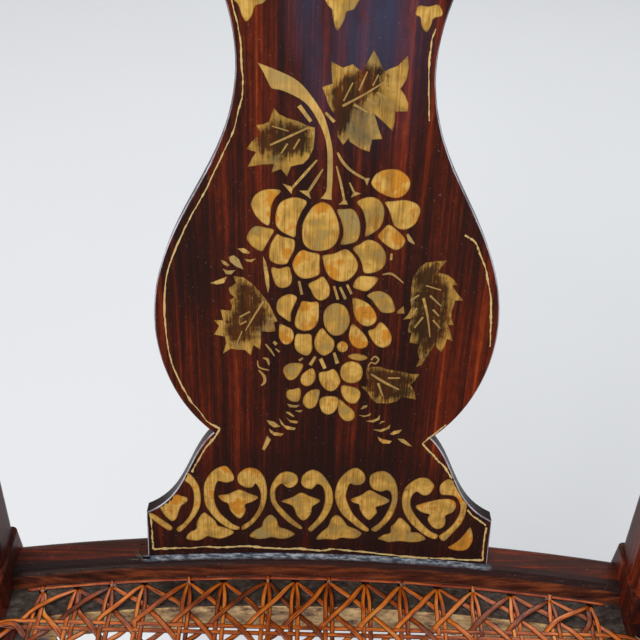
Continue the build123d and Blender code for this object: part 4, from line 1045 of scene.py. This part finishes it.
def paint_lines(name, lines, surface, width, step=2.2, waver=0.14):
    """Narrow brushed lines, a little uneven in course and width, as strips on a surface."""
    verts, faces, tone = [], [], []
    for points in lines:
        line = spaced(curved(points, closed=False, per=8), step, closed=False)
        previous = None
        swing = thick = 0.0
        for i, (x, y) in enumerate(line):
            swing = swing * SWING_KEPT + steady.gauss(0, waver)
            thick = thick * THICK_KEPT + steady.gauss(0, width * THICK_SPREAD)
            nx, ny = across_line(line, i)
            half = max(width * THINNEST, width / 2 + thick)
            spots = [surface(x + nx * (swing + k), y + ny * (swing + k)) for k in (half, -half)]
            if None in spots:
                previous = None
                continue
            now = len(verts)
            verts += spots
            tone += [0.55 + swing * 0.2] * 2
            if previous is not None:
                faces.append((previous, previous + 1, now + 1, now))
            previous = now
    return paint_object(name, verts, faces, line_gold, {"tone": tone, "rim": [1.0] * len(tone)})


paint_lines("pinstripe_splat", PINSTRIPES, on_splat, PIN_WIDTH)

# Pendants at the neck, in pixels, and two hearts on the head above them, upside down
PENDANTS = outlines(
    (226, -12, 233, -6, 234, 0, 237, 3, 239.5, 8, 241.5, 14.5, 246, 21.5, 251.5, 16, 254, 8, 256.5, 5, 263,
     3, 268, -4, 262, -10, 247, -13),
    (318, -8, 325, 0, 328, 5.5, 332, 9.5, 333, 17.5, 337, 30.5, 344, 20.5, 346.5, 12, 353.5, 9.5, 357, 4,
     362, -6, 352, -12, 338, -14, 326, -12),
    (416, 11, 419, 5.5, 428.5, 6.5, 438, 4.5, 442.5, 11, 441.5, 16, 433.5, 18.5, 431, 25.5, 426.5, 32,
     421.5, 25.5, 420.5, 17.5, 416, 15),
)
HEART_MIDDLE = (302, 500)
HEAD_HEARTS = ((291, -46), (383, -40))
heart = HEARTS[3:6]


def moved(shape, middle, place, scale=1.0, turn=1, mirror=1):
    """A shape set down with its middle elsewhere; turn -1 is upside down, mirror -1 left for right."""
    (mx, my), (px, py) = middle, place
    return [(px + mirror * scale * (x - mx), py + turn * scale * (y - my)) for x, y in shape]


head = PENDANTS + [moved(side, HEART_MIDDLE, place, turn=-1) for place in HEAD_HEARTS for side in heart]
head_tones = [0.45, 0.4, 0.55] + [0.5] * len(HEAD_HEARTS) * len(heart)
paint("stencil_head", [curved(h, per=3) for h in head], on_splat, heart_gold, 1.8, tones=head_tones)

# The crest's stencil, in millimetres across and up from the splat's foot: grapes and leaves between hearts.
# Its shapes are the splat's. Their own middles are in pixels of the picture, and PX_MM is what a pixel becomes
PX_MM = 0.55
CREST_TOP, CREST_FOOT = 410, 314
CREST_MIDDLE = (0, 350)
CLUSTER_FIRST, CLUSTER_MIDDLE = 28, (323, 391)
LEAF_MIDDLE, LEAF_PLACE = (281, 142), (41, 354)
LEAF_SCALE, LEAF_CORE_SCALE = PX_MM * 0.85, PX_MM * 0.7
HEARTS_ACROSS, HEARTS_UP, HEARTS_SCALE = (78, 119, 160), 341, PX_MM * 0.95
TREFOIL, TREFOIL_MIDDLE = HEARTS[13], (273, 528)
TREFOILS_ACROSS, TREFOILS_UP, TREFOILS_SCALE = (98.5, 139.5), 331, PX_MM * 0.6
# Its pinstripes: how far inside the crest's edges, how wide, and how those edges are looked for
STRIPE_INSET = 6.0
STRIPE_WIDTH = 1.1
SCAN_STEP, SCAN_COUNT = 0.5, 200
SCAN_SPACING, SCAN_REACH = 7.5, 202.5


def crest_edge(x, start, step):
    """Where the crest's face begins at a distance across, looking up or down from a height."""
    height = start
    for k in range(SCAN_COUNT):
        if on_crest(x, height):
            return height
        height += step
    return None


crest_shapes, crest_tones = [], []
for tone, grape in GRAPES[CLUSTER_FIRST:]:
    crest_shapes.append(moved(curved(grape, per=3), CLUSTER_MIDDLE, CREST_MIDDLE, PX_MM, -1))
    crest_tones.append(tone)
for side in (-1, 1):
    for across in HEARTS_ACROSS:
        place = (side * across, HEARTS_UP)
        for shape in heart:
            crest_shapes.append(moved(curved(shape, per=3), HEART_MIDDLE, place, HEARTS_SCALE, -1, side))
            crest_tones.append(0.5)
    for across in TREFOILS_ACROSS:
        place = (side * across, TREFOILS_UP)
        crest_shapes.append(moved(curved(TREFOIL, per=3), TREFOIL_MIDDLE, place, TREFOILS_SCALE, -1))
        crest_tones.append(0.4)
paint("stencil_crest", crest_shapes, on_crest, heart_gold, 1.2, tones=crest_tones, rim=5.0)
crest_leaves, crest_cores = [], []
for side in (-1, 1):
    place = (side * LEAF_PLACE[0], LEAF_PLACE[1])
    crest_leaves.append(moved(LEAVES[1], LEAF_MIDDLE, place, LEAF_SCALE, -1, side))
    crest_cores.append(moved(LEAF_CORES[1], LEAF_MIDDLE, place, LEAF_CORE_SCALE, -1, side))
paint("stencil_crest_leaves", crest_leaves, on_crest, leaf_gold, 1.2, cores=crest_cores, rim=3.0)
xs = [k * SCAN_SPACING - SCAN_REACH for k in range(int(2 * SCAN_REACH / SCAN_SPACING) + 1)]
top_line = [(x, crest_edge(x, CREST_TOP, -SCAN_STEP)) for x in xs]
foot_line = [(x, crest_edge(x, CREST_FOOT, SCAN_STEP)) for x in xs]
crest_lines = [
    [(x, h - STRIPE_INSET) for x, h in top_line if h],
    [(x, h + STRIPE_INSET) for x, h in foot_line if h],
]
paint_lines("pinstripe_crest", crest_lines, on_crest, STRIPE_WIDTH, step=1.6, waver=0.08)

# ---------------------------------------------------------------- the mortise beside the splat's foot

# The open end of the splat's mortise, its filler's depths, foot and level, and the rail's flat top
MORTISE = (-94.4, -90.1)
FILLER_DEPTHS = (0.1, 6.9)
FILLER_FOOT = -11.0
FILLER_LEVEL = 447.2
RAIL_TOP = 0.4475
verts = []
for depth in FILLER_DEPTHS:
    for x in MORTISE:
        for height in (None, FILLER_FOOT):
            spot = back_point(x, depth, 0 if height is None else height)
            if height is None:
                spot += ALONG * ((FILLER_LEVEL * MM - spot.z) / ALONG.z)
            verts.append(spot)
faces = [(0, 4, 6, 2), (1, 3, 7, 5), (0, 1, 5, 4), (2, 6, 7, 3), (0, 2, 3, 1), (4, 5, 7, 6)]
rides(new_object("mortise_filler", verts, faces, rear_rail_wood, smooth=False))


def on_rail_top(px, py):
    """The place on the flat top of the rear rail behind a pixel."""
    way = ray_through(px, py)
    return camera_place + way * ((RAIL_TOP + PAINT_PROUD - camera_place.z) / way.z)


def plain_look(name, dark, light, scale):
    material, n, shader = new_material(name)
    grains = n.noise(n.place(), scale, 4.0, 0.7)
    n.put(shader.inputs["Base Color"], n.ramp(grains, (0.35, dark), (0.65, light)))
    shader.inputs["Roughness"].default_value = 0.85
    shader.inputs["Specular IOR Level"].default_value = 0.1
    n.put(shader.inputs["Normal"], n.bump(grains, 0.0003))
    return material


# Painted shade: a near-black sheet laid on the filled mortise where the dark of the open gap would be
gap_shade_look = plain_look("painted_gap_shade", srgb(6, 5, 6), srgb(18, 14, 14), 900.0)
chip_look = plain_look("chipped_paint", srgb(30, 30, 28), srgb(96, 94, 78), 1400.0)
SLIT = pairs(142.7, 556.6, 150.2, 556.4, 150.2, 558.8, 142.9, 559.2)
CHIPS = outlines(
    (135.5, 556, 138, 554, 141, 554.2, 141.8, 557, 139, 557.8, 137, 556.8),
    (136.2, 552.2, 138, 551.4, 139.2, 552.2, 137.4, 553),
    (126, 559.2, 131, 558.9, 141, 559.4, 138, 560, 129, 559.8),
)
paint("painted_gap_shade", [SLIT], on_rail_top, gap_shade_look, 1.5)
paint("chipped_paint", CHIPS, on_rail_top, chip_look, 1.2)

# ---------------------------------------------------------------- woven cane

# Sizes of the weave, in millimetres: its level over the seat, lifts at crossings, and half widths
WEAVE_LEVEL = 1.2
SLANT_LIFT = 0.75
PAIR_LIFT = 0.3
PAIR_HALF = 1.7
HOLE_PAIR_HALF = 0.5
STRAND_HALF = 1.2
SLANT_HALF = 1.45
# A strand's section: share of its half width, height in millimetres
SECTION = pairs(-1, -0.1, -0.8, 0.16, -0.35, 0.27, 0.35, 0.27, 0.8, 0.16, 1, -0.1, 0.7, -0.27, -0.7, -0.27)
# How a strand bends down into its hole: distance from the hole's middle, height
DIP = pairs(0.3, -7, 0.35, -3, 0.6, -1.1, 1.1, -0.2, 1.9, 0.3, 3.2, 0.62, 6, 1, 9, WEAVE_LEVEL)
# Near its hole a strand bends aside within HOLE_REACH, its pair parts within PAIR_REACH, it rises to the
# weave from LIFT_START over LIFT_REACH, and its end is narrower, by TIP_SHARE, over TIP_REACH
HOLE_REACH = 17.0
PAIR_REACH = 12
LIFT_START, LIFT_REACH = 2, 6
TIP_START, TIP_REACH, TIP_SHARE = 0.5, 8, 0.62
END_PLACES = (0.3, 0.35, 0.6, 1.1, 1.9, 3.2, 4.6)
END_GAP = 1.4
FRONT_HALF = 10


def side_line(y):
    """Half width of the seat at its side rows of holes."""
    return SIDE_NARROW + (SIDE_WIDE - SIDE_NARROW) * (-FIRST_CROSS - y) / (DEPTH - FIRST_CROSS)


cross_rows = [-FIRST_CROSS - PITCH * j for j in range(CROSS_PAIRS)]
rear_holes = {}
for i in range(-REAR_HALF, REAR_HALF):
    x = (i + 0.5) * PITCH + REAR_WANDER[i + REAR_HALF]
    rear_holes[i] = (x, bow(x))
front_x = [(i + 0.5) * PITCH for i in range(-FRONT_HALF, FRONT_HALF)]
holes = list(rear_holes.values()) + [(x, -DEPTH) for x in front_x]
holes += [(side * side_line(y), y) for y in cross_rows for side in (-1, 1)]
holes += [(SIDE_WIDE, -DEPTH), (-SIDE_WIDE, -DEPTH)]


def nearest_hole(x, y):
    return min(holes, key=lambda hole: (hole[0] - x) ** 2 + (hole[1] - y) ** 2)


def dip_height(distance):
    for (d0, z0), (d1, z1) in zip(DIP, DIP[1:]):
        if distance < d1:
            return z0 + (z1 - z0) * max(0.0, distance - d0) / (d1 - d0)
    return WEAVE_LEVEL


def strand_course(start, finish, a, b, lift, step=1.9, beside=0.0, wide=STRAND_HALF):
    """One strand from hole to hole along the line from a to b, over and under by lift(x, y).

    beside is -1 or 1 for the two strands of a pair."""
    (ax, ay), (bx, by) = a, b
    length = sqrt((bx - ax) ** 2 + (by - ay) ** 2)
    ends = END_PLACES[-1] + END_GAP
    count = int((length - 2 * ends) / step)
    places = list(END_PLACES) + [ends + (length - 2 * ends) * k / count for k in range(count + 1)]
    places += [length - d for d in END_PLACES[::-1]]
    nx, ny = -(by - ay) / length, (bx - ax) / length
    course = []
    for d in places:
        t = d / length
        from_a, from_b = 1 - smooth_step(d / HOLE_REACH), 1 - smooth_step((length - d) / HOLE_REACH)
        x = ax + (bx - ax) * t + (start[0] - ax) * from_a + (finish[0] - bx) * from_b
        y = ay + (by - ay) * t + (start[1] - ay) * from_a + (finish[1] - by) * from_b
        end = min(d, length - d)
        spread = beside * (HOLE_PAIR_HALF + (PAIR_HALF - HOLE_PAIR_HALF) * smooth_step(end / PAIR_REACH))
        x += nx * spread
        y += ny * spread
        height = dip_height(end) + lift(x, y) * smooth_step((end - LIFT_START) / LIFT_REACH)
        half = wide * (TIP_SHARE + (1 - TIP_SHARE) * smooth_step((end - TIP_START) / TIP_REACH))
        course.append((Vector((x, SEAT_Y + y, CANE_LEVEL + height)), half))
    return course


def build_strands(name, courses, material, section=SECTION):
    """One mesh of many strands, closed at their ends."""
    verts, faces = [], []
    kept = {"run": [], "across": [], "seed": []}
    ring = len(section)
    for course in courses:
        seed = steady.random()
        run = 0.0
        base = len(verts)
        count = len(course)
        side = None
        for k, (spot, half) in enumerate(course):
            ahead = course[min(k + 1, count - 1)][0] - course[max(k - 1, 0)][0]
            flat = Vector((ahead.x, ahead.y, 0))
            if flat.length > 0.15 or side is None:
                side = Vector((flat.y, -flat.x, 0)).normalized()
            up = side.cross(ahead).normalized()
            if k:
                run += (spot - course[k - 1][0]).length
            for share, height in section:
                verts.append((spot + side * (half * share) + up * height) * MM)
                kept["run"].append(run * MM)
                kept["across"].append(share)
                kept["seed"].append(seed)
        for k in range(count - 1):
            low = base + k * ring
            for m in range(ring):
                m2 = (m + 1) % ring
                faces.append((low + m, low + ring + m, low + ring + m2, low + m2))
        faces.append(tuple(base + m for m in range(ring)))
        faces.append(tuple(base + (count - 1) * ring + m for m in range(ring))[::-1])
    return rides(new_object(name, verts, faces, material, kept))


# Half width of a strand as its look takes it, in metres, and the colours of shine, edges and fibres
STRAND_HALF_M = 0.0013
CANE_SHINE, CANE_EDGE, CANE_FIBRE = srgb(228, 150, 66), srgb(50, 20, 8), srgb(40, 16, 8)


def cane_look(name, light, middle, dark):
    """Split cane: glossy skin with dark lengthwise fibres and browner edges."""
    material, n, shader = new_material(name)
    run, across, seed = n.kept("run"), n.kept("across"), n.kept("seed")
    vector = n.add("ShaderNodeCombineXYZ")
    for socket, value in zip(vector.inputs, (run, n.times(across, STRAND_HALF_M), n.times(seed, 5.0))):
        n.put(socket, value)
    vector = vector.outputs[0]
    long_tone = n.noise(n.mapped(vector, scale=(70, 260, 1)), 1.0, 3.0)
    fibres = n.noise(n.mapped(vector, scale=(110, 2000, 1)), 1.0, 4.0, 0.65)
    tone = n.total((long_tone, 0.6), (seed, 0.2), (fibres, 0.5), (1.0, -0.1))
    colour = n.ramp(tone, (0.38, dark), (0.5, middle), (0.62, light), (0.76, CANE_SHINE))
    ragged = n.times(n.math("SUBTRACT", long_tone, 0.5), 0.9)
    edge = n.math("ADD", n.math("ABSOLUTE", across), ragged)
    colour = n.mix(n.rise(edge, 0.42, 1.0, 0.0, 0.95), colour, CANE_EDGE)
    colour = n.mix(n.rise(fibres, 0.32, 0.42, 0.8, 0.0), colour, CANE_FIBRE)
    n.put(shader.inputs["Base Color"], colour)
    shader.inputs["Roughness"].default_value = 0.3
    shader.inputs["Specular IOR Level"].default_value = 0.4
    n.put(shader.inputs["Normal"], n.bump(fibres, 0.00025, 0.7))
    return material


cane_material = cane_look("aged_cane", srgb(210, 106, 24), srgb(146, 62, 14), srgb(72, 29, 10))
binder_material = cane_look("binder_cane", srgb(188, 84, 30), srgb(136, 48, 18), srgb(70, 24, 12))


# How far from a crossing a strand's wave begins to fade and over how much it does, in millimetres, and the
# share of the way between two crossings for which a slanting strand keeps its height at each
FADE_START, FADE_REACH = 2.2, 2.8
HELD = 0.32


def crossing_wave(offset):
    """Height of a strand that passes over one strand of a pair and under the other."""
    return sin(pi * offset / (2 * PAIR_HALF)) * (1 - smooth_step((abs(offset) - FADE_START) / FADE_REACH))


def blended(value, events):
    """Height between events (place, height), held near each and eased from one to the next."""
    if value <= events[0][0]:
        return events[0][1]
    for (a, za), (b, zb) in zip(events, events[1:]):
        if value < b:
            return za + (zb - za) * smooth_step(((value - a) / (b - a) - HELD) / (1 - 2 * HELD))
    return events[-1][1]


# Front to back, in pairs
upright_lines = []
courses = []
for i in range(-FRONT_HALF, FRONT_HALF):
    x = (i + 0.5) * PITCH
    front = (x, -DEPTH)
    if i in rear_holes:
        rear = rear_holes[i]
    else:
        edge = -FIRST_CROSS - (abs(x) - SIDE_NARROW) * (DEPTH - FIRST_CROSS) / (SIDE_WIDE - SIDE_NARROW)
        rear = nearest_hole(x, min(-FIRST_CROSS, edge))
    upright_lines.append((front, rear))
    for k, beside in enumerate((-1, 1)):

        def lift(x, y, sign=(1 if (i + k) % 2 else -1)):
            j = min(range(CROSS_PAIRS), key=lambda row: abs(cross_rows[row] - y))
            return PAIR_LIFT * crossing_wave(y - cross_rows[j]) * sign * (1 if j % 2 else -1)

        courses.append(strand_course(front, rear, front, rear, lift, beside=beside))
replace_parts(build_strands("woven_front_to_back", courses, cane_material), "cane_front_to_back")


def upright_at(line, y):
    (ax, ay), (bx, by) = line
    return ax + (bx - ax) * (y - ay) / (by - ay)


# Side to side, in pairs
courses = []
for j, row in enumerate(cross_rows):
    left, right = (-side_line(row), row), (side_line(row), row)
    for k, beside in enumerate((-1, 1)):

        def lift(x, y, j=j, way=(1 if k else -1)):
            i, line = min(enumerate(upright_lines), key=lambda item: abs(upright_at(item[1], y) - x))
            return PAIR_LIFT * crossing_wave(x - upright_at(line, y)) * (way if (i + j) % 2 else -way)

        courses.append(strand_course(left, right, left, right, lift, beside=beside))
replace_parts(build_strands("woven_side_to_side", courses, cane_material), "cane_side_to_side")

# Single strands on the slant, both ways: the last one counted, the shortest laid, how near the rear row
# a strand still passes under, and how far apart two crossings lie at least
LAST_SLANT = 28
SHORTEST_SLANT = 14
NEAR_REAR = -15
CROSSINGS_APART = 3
for name, node, slope, over_upright in (
    ("woven_slant_down_left", "cane_slant_right", 1, SLANT_LIFT),
    ("woven_slant_down_right", "cane_slant_left", -1, -SLANT_LIFT),
):
    courses = []
    for i in range(-REAR_HALF - 1, LAST_SLANT):
        start = (i + 0.5) * PITCH * slope
        inner = [-y * 0.5 for y in range(int(2 * DEPTH))]
        inner = [y for y in inner if y <= bow(start + y * slope) and abs(start + y * slope) <= side_line(y)]
        if not inner or inner[0] - inner[-1] < SHORTEST_SLANT:
            continue
        top, bottom = inner[0], inner[-1]
        top_spot, low_spot = (start + top * slope, top), (start + bottom * slope, bottom)
        events = [(row, -over_upright) for row in cross_rows if bottom < row < top]
        for (ax, ay), (bx, by) in upright_lines:
            lean = (bx - ax) / (by - ay)
            y = (ax - lean * ay - start) / (slope - lean)
            if bottom < y < min(top, by) and all(abs(y - e[0]) > CROSSINGS_APART for e in events):
                events.append((y, over_upright))
        if top > NEAR_REAR:
            events.append((top - PITCH / 2, over_upright))
        events = sorted(events) or [(bottom, over_upright)]

        def lift(x, y, events=events):
            return blended(y, events)

        ends = nearest_hole(*low_spot), nearest_hole(*top_spot)
        courses.append(strand_course(*ends, low_spot, top_spot, lift, wide=SLANT_HALF))
    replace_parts(build_strands(name, courses, cane_material), node)

# Binder along the rows of holes, a little uneven
BINDER_OUT = 1.6
BINDER_HALF = 1.0
BINDER_SECTION = pairs(-1, 0, -0.8, 0.45, -0.3, 0.64, 0.3, 0.64, 0.8, 0.45, 1, 0)
BINDER_REAR, BINDER_FRONT = 150.2, 195.5
BINDER_STEPS = 60
BINDER_RISE = 0.02
BINDER_WAVER, WAVER_PACE = 0.06, 1.7


def binder_course(points):
    course = []
    for k, (x, y) in enumerate(points):
        half = BINDER_HALF + BINDER_WAVER * sin(k * WAVER_PACE)
        course.append((Vector((x, SEAT_Y + y, CANE_LEVEL + BINDER_RISE)), half))
    return course


side_way = Vector((SIDE_WIDE - SIDE_NARROW, -(DEPTH - FIRST_CROSS))).normalized()
side_out = Vector((-side_way.y, side_way.x))
shares = [k / BINDER_STEPS - 1 for k in range(2 * BINDER_STEPS + 1)]
courses = [
    binder_course([(BINDER_REAR * s, bow(BINDER_REAR * s) + BINDER_OUT) for s in shares]),
    binder_course([(BINDER_FRONT * s, -DEPTH - BINDER_OUT) for s in shares]),
]
for side in (-1, 1):
    run = []
    for s in shares:
        y = -FIRST_CROSS - (DEPTH - FIRST_CROSS) * (s + 1) / 2
        run.append((side * (side_line(y) + side_out.x * BINDER_OUT), y + side_out.y * BINDER_OUT))
    courses.append(binder_course(run))
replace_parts(build_strands("binder", courses, binder_material, section=BINDER_SECTION), "cane_binder")

# Loops that tie the binder down at every second hole, with a few frayed fibres. LOOP_RISE gives a loop's
# course: outward from the hole's middle, and height
LOOP_RISE = pairs(
    -0.9, -6, -0.85, -1.5, -0.5, 0.35, 0.2, 0.95, 1.2, 1.12, 2.1, 1.02, 2.62, 0.62, 2.74, 0.1, 2.7, -0.05,
)
LOOP_HALF = 1.0
# Frayed fibres at each loop: how many, how far they turn, how long they are, and their points and half width
FRAYS = 5
FRAY_TURN = 1.2
FRAY_LENGTHS = (1.2, 3.0)
FIBRE_POINTS, FIBRE_HALF = 5, 0.16
FIBRE_TONES = ((0.35, srgb(150, 128, 104)), (0.65, srgb(214, 202, 182)))
rear_row = [(spot, Vector((spot[0] / BOW, 1)).normalized()) for spot in rear_holes.values()]
side_rows = [
    ((side * side_line(y), y), Vector((side * side_out.x, side_out.y))) for side in (1, -1) for y in cross_rows
]
front_row = [((x, -DEPTH), Vector((0, -1))) for x in front_x]
hole_rows = rear_row + side_rows + front_row
courses, fibres = [], []
for (x, y), out in hole_rows[::2]:
    along = Vector((-out.y, out.x))
    hole = Vector((x, SEAT_Y + y))
    skew = steady.uniform(-0.5, 0.5)
    course = []
    for k, (u, height) in enumerate(LOOP_RISE):
        spot = hole + out * u + along * (skew * (u - 1) * 0.25)
        course.append((Vector((spot.x, spot.y, CANE_LEVEL + height)), LOOP_HALF * (0.8 if k < 2 else 1.0)))
    courses.append(course)
    for k in range(FRAYS):
        turned = steady.uniform(-FRAY_TURN, FRAY_TURN)
        length = steady.uniform(*FRAY_LENGTHS)
        ahead = out * (cos(turned) * steady.choice((-1, 0.6))) + along * sin(turned)
        foot = hole + out * steady.uniform(-0.6, 1.6) + along * steady.uniform(-0.9, 0.9)
        fibre = []
        for m in range(FIBRE_POINTS):
            t = m / (FIBRE_POINTS - 1)
            spot = foot + ahead * (length * t)
            rise = 0.95 + length * 0.45 * t * (1 - 0.5 * t)
            fibre.append((Vector((spot.x, spot.y, CANE_LEVEL + rise)), FIBRE_HALF * (1 - 0.6 * t)))
        fibres.append(fibre)
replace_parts(build_strands("binder_loops", courses, cane_material), "cane_binder_loops")

fibre_material, n, shader = new_material("frayed_fibre")
tone = n.noise(n.place(), 700.0, 3.0)
n.put(shader.inputs["Base Color"], n.ramp(tone, *FIBRE_TONES))
shader.inputs["Roughness"].default_value = 0.7
n.put(shader.inputs["Normal"], n.bump(tone, 0.0002))
build_strands("frayed_fibres", fibres, fibre_material, section=((-1, 0.0), (0, 0.07), (1, 0.0)))

# ---------------------------------------------------------------- floor, light, finish

FLOOR_TONES = ((0.3, (0.79,) * 3), (0.7, (0.81,) * 3))
FLOOR_SIZE = 12
SKY_COLOUR, SKY_STRENGTH = (0.95, 0.97, 1.0, 1), 0.55

floor_material, n, shader = new_material("floor")
n.put(shader.inputs["Base Color"], n.ramp(n.noise(n.place(), 2.0, 2.0), *FLOOR_TONES))
shader.inputs["Roughness"].default_value = 0.9
bpy.ops.mesh.primitive_plane_add(size=FLOOR_SIZE, location=(0, 0, 0))
floor = bpy.context.object
floor.name = "floor"
floor.data.materials.append(floor_material)

world = bpy.data.worlds.new("studio")
bpy.context.scene.world = world
world.use_nodes = True
world.node_tree.nodes["Background"].inputs["Color"].default_value = SKY_COLOUR
world.node_tree.nodes["Background"].inputs["Strength"].default_value = SKY_STRENGTH


def soft_light(name, place, aim, size, power, colour=(1, 1, 1)):
    data = bpy.data.lights.new(name, "AREA")
    data.shape = "RECTANGLE"
    data.size, data.size_y = size
    data.energy = power
    data.color = colour
    light = bpy.data.objects.new(name, data)
    light.location = place
    light.rotation_euler = (Vector(aim) - Vector(place)).to_track_quat("-Z", "Y").to_euler()
    bpy.context.scene.collection.objects.link(light)


soft_light("key_light", (-1.2, -1.4, 2.4), (0, 0, 0.6), (1.6, 1.2), 42)
soft_light("back_light", (0.4, 1.6, 2.2), (0, 0, 0.7), (2.0, 1.0), 22, (0.9, 0.94, 1.0))

bpy.context.scene.view_settings.view_transform = "Standard"
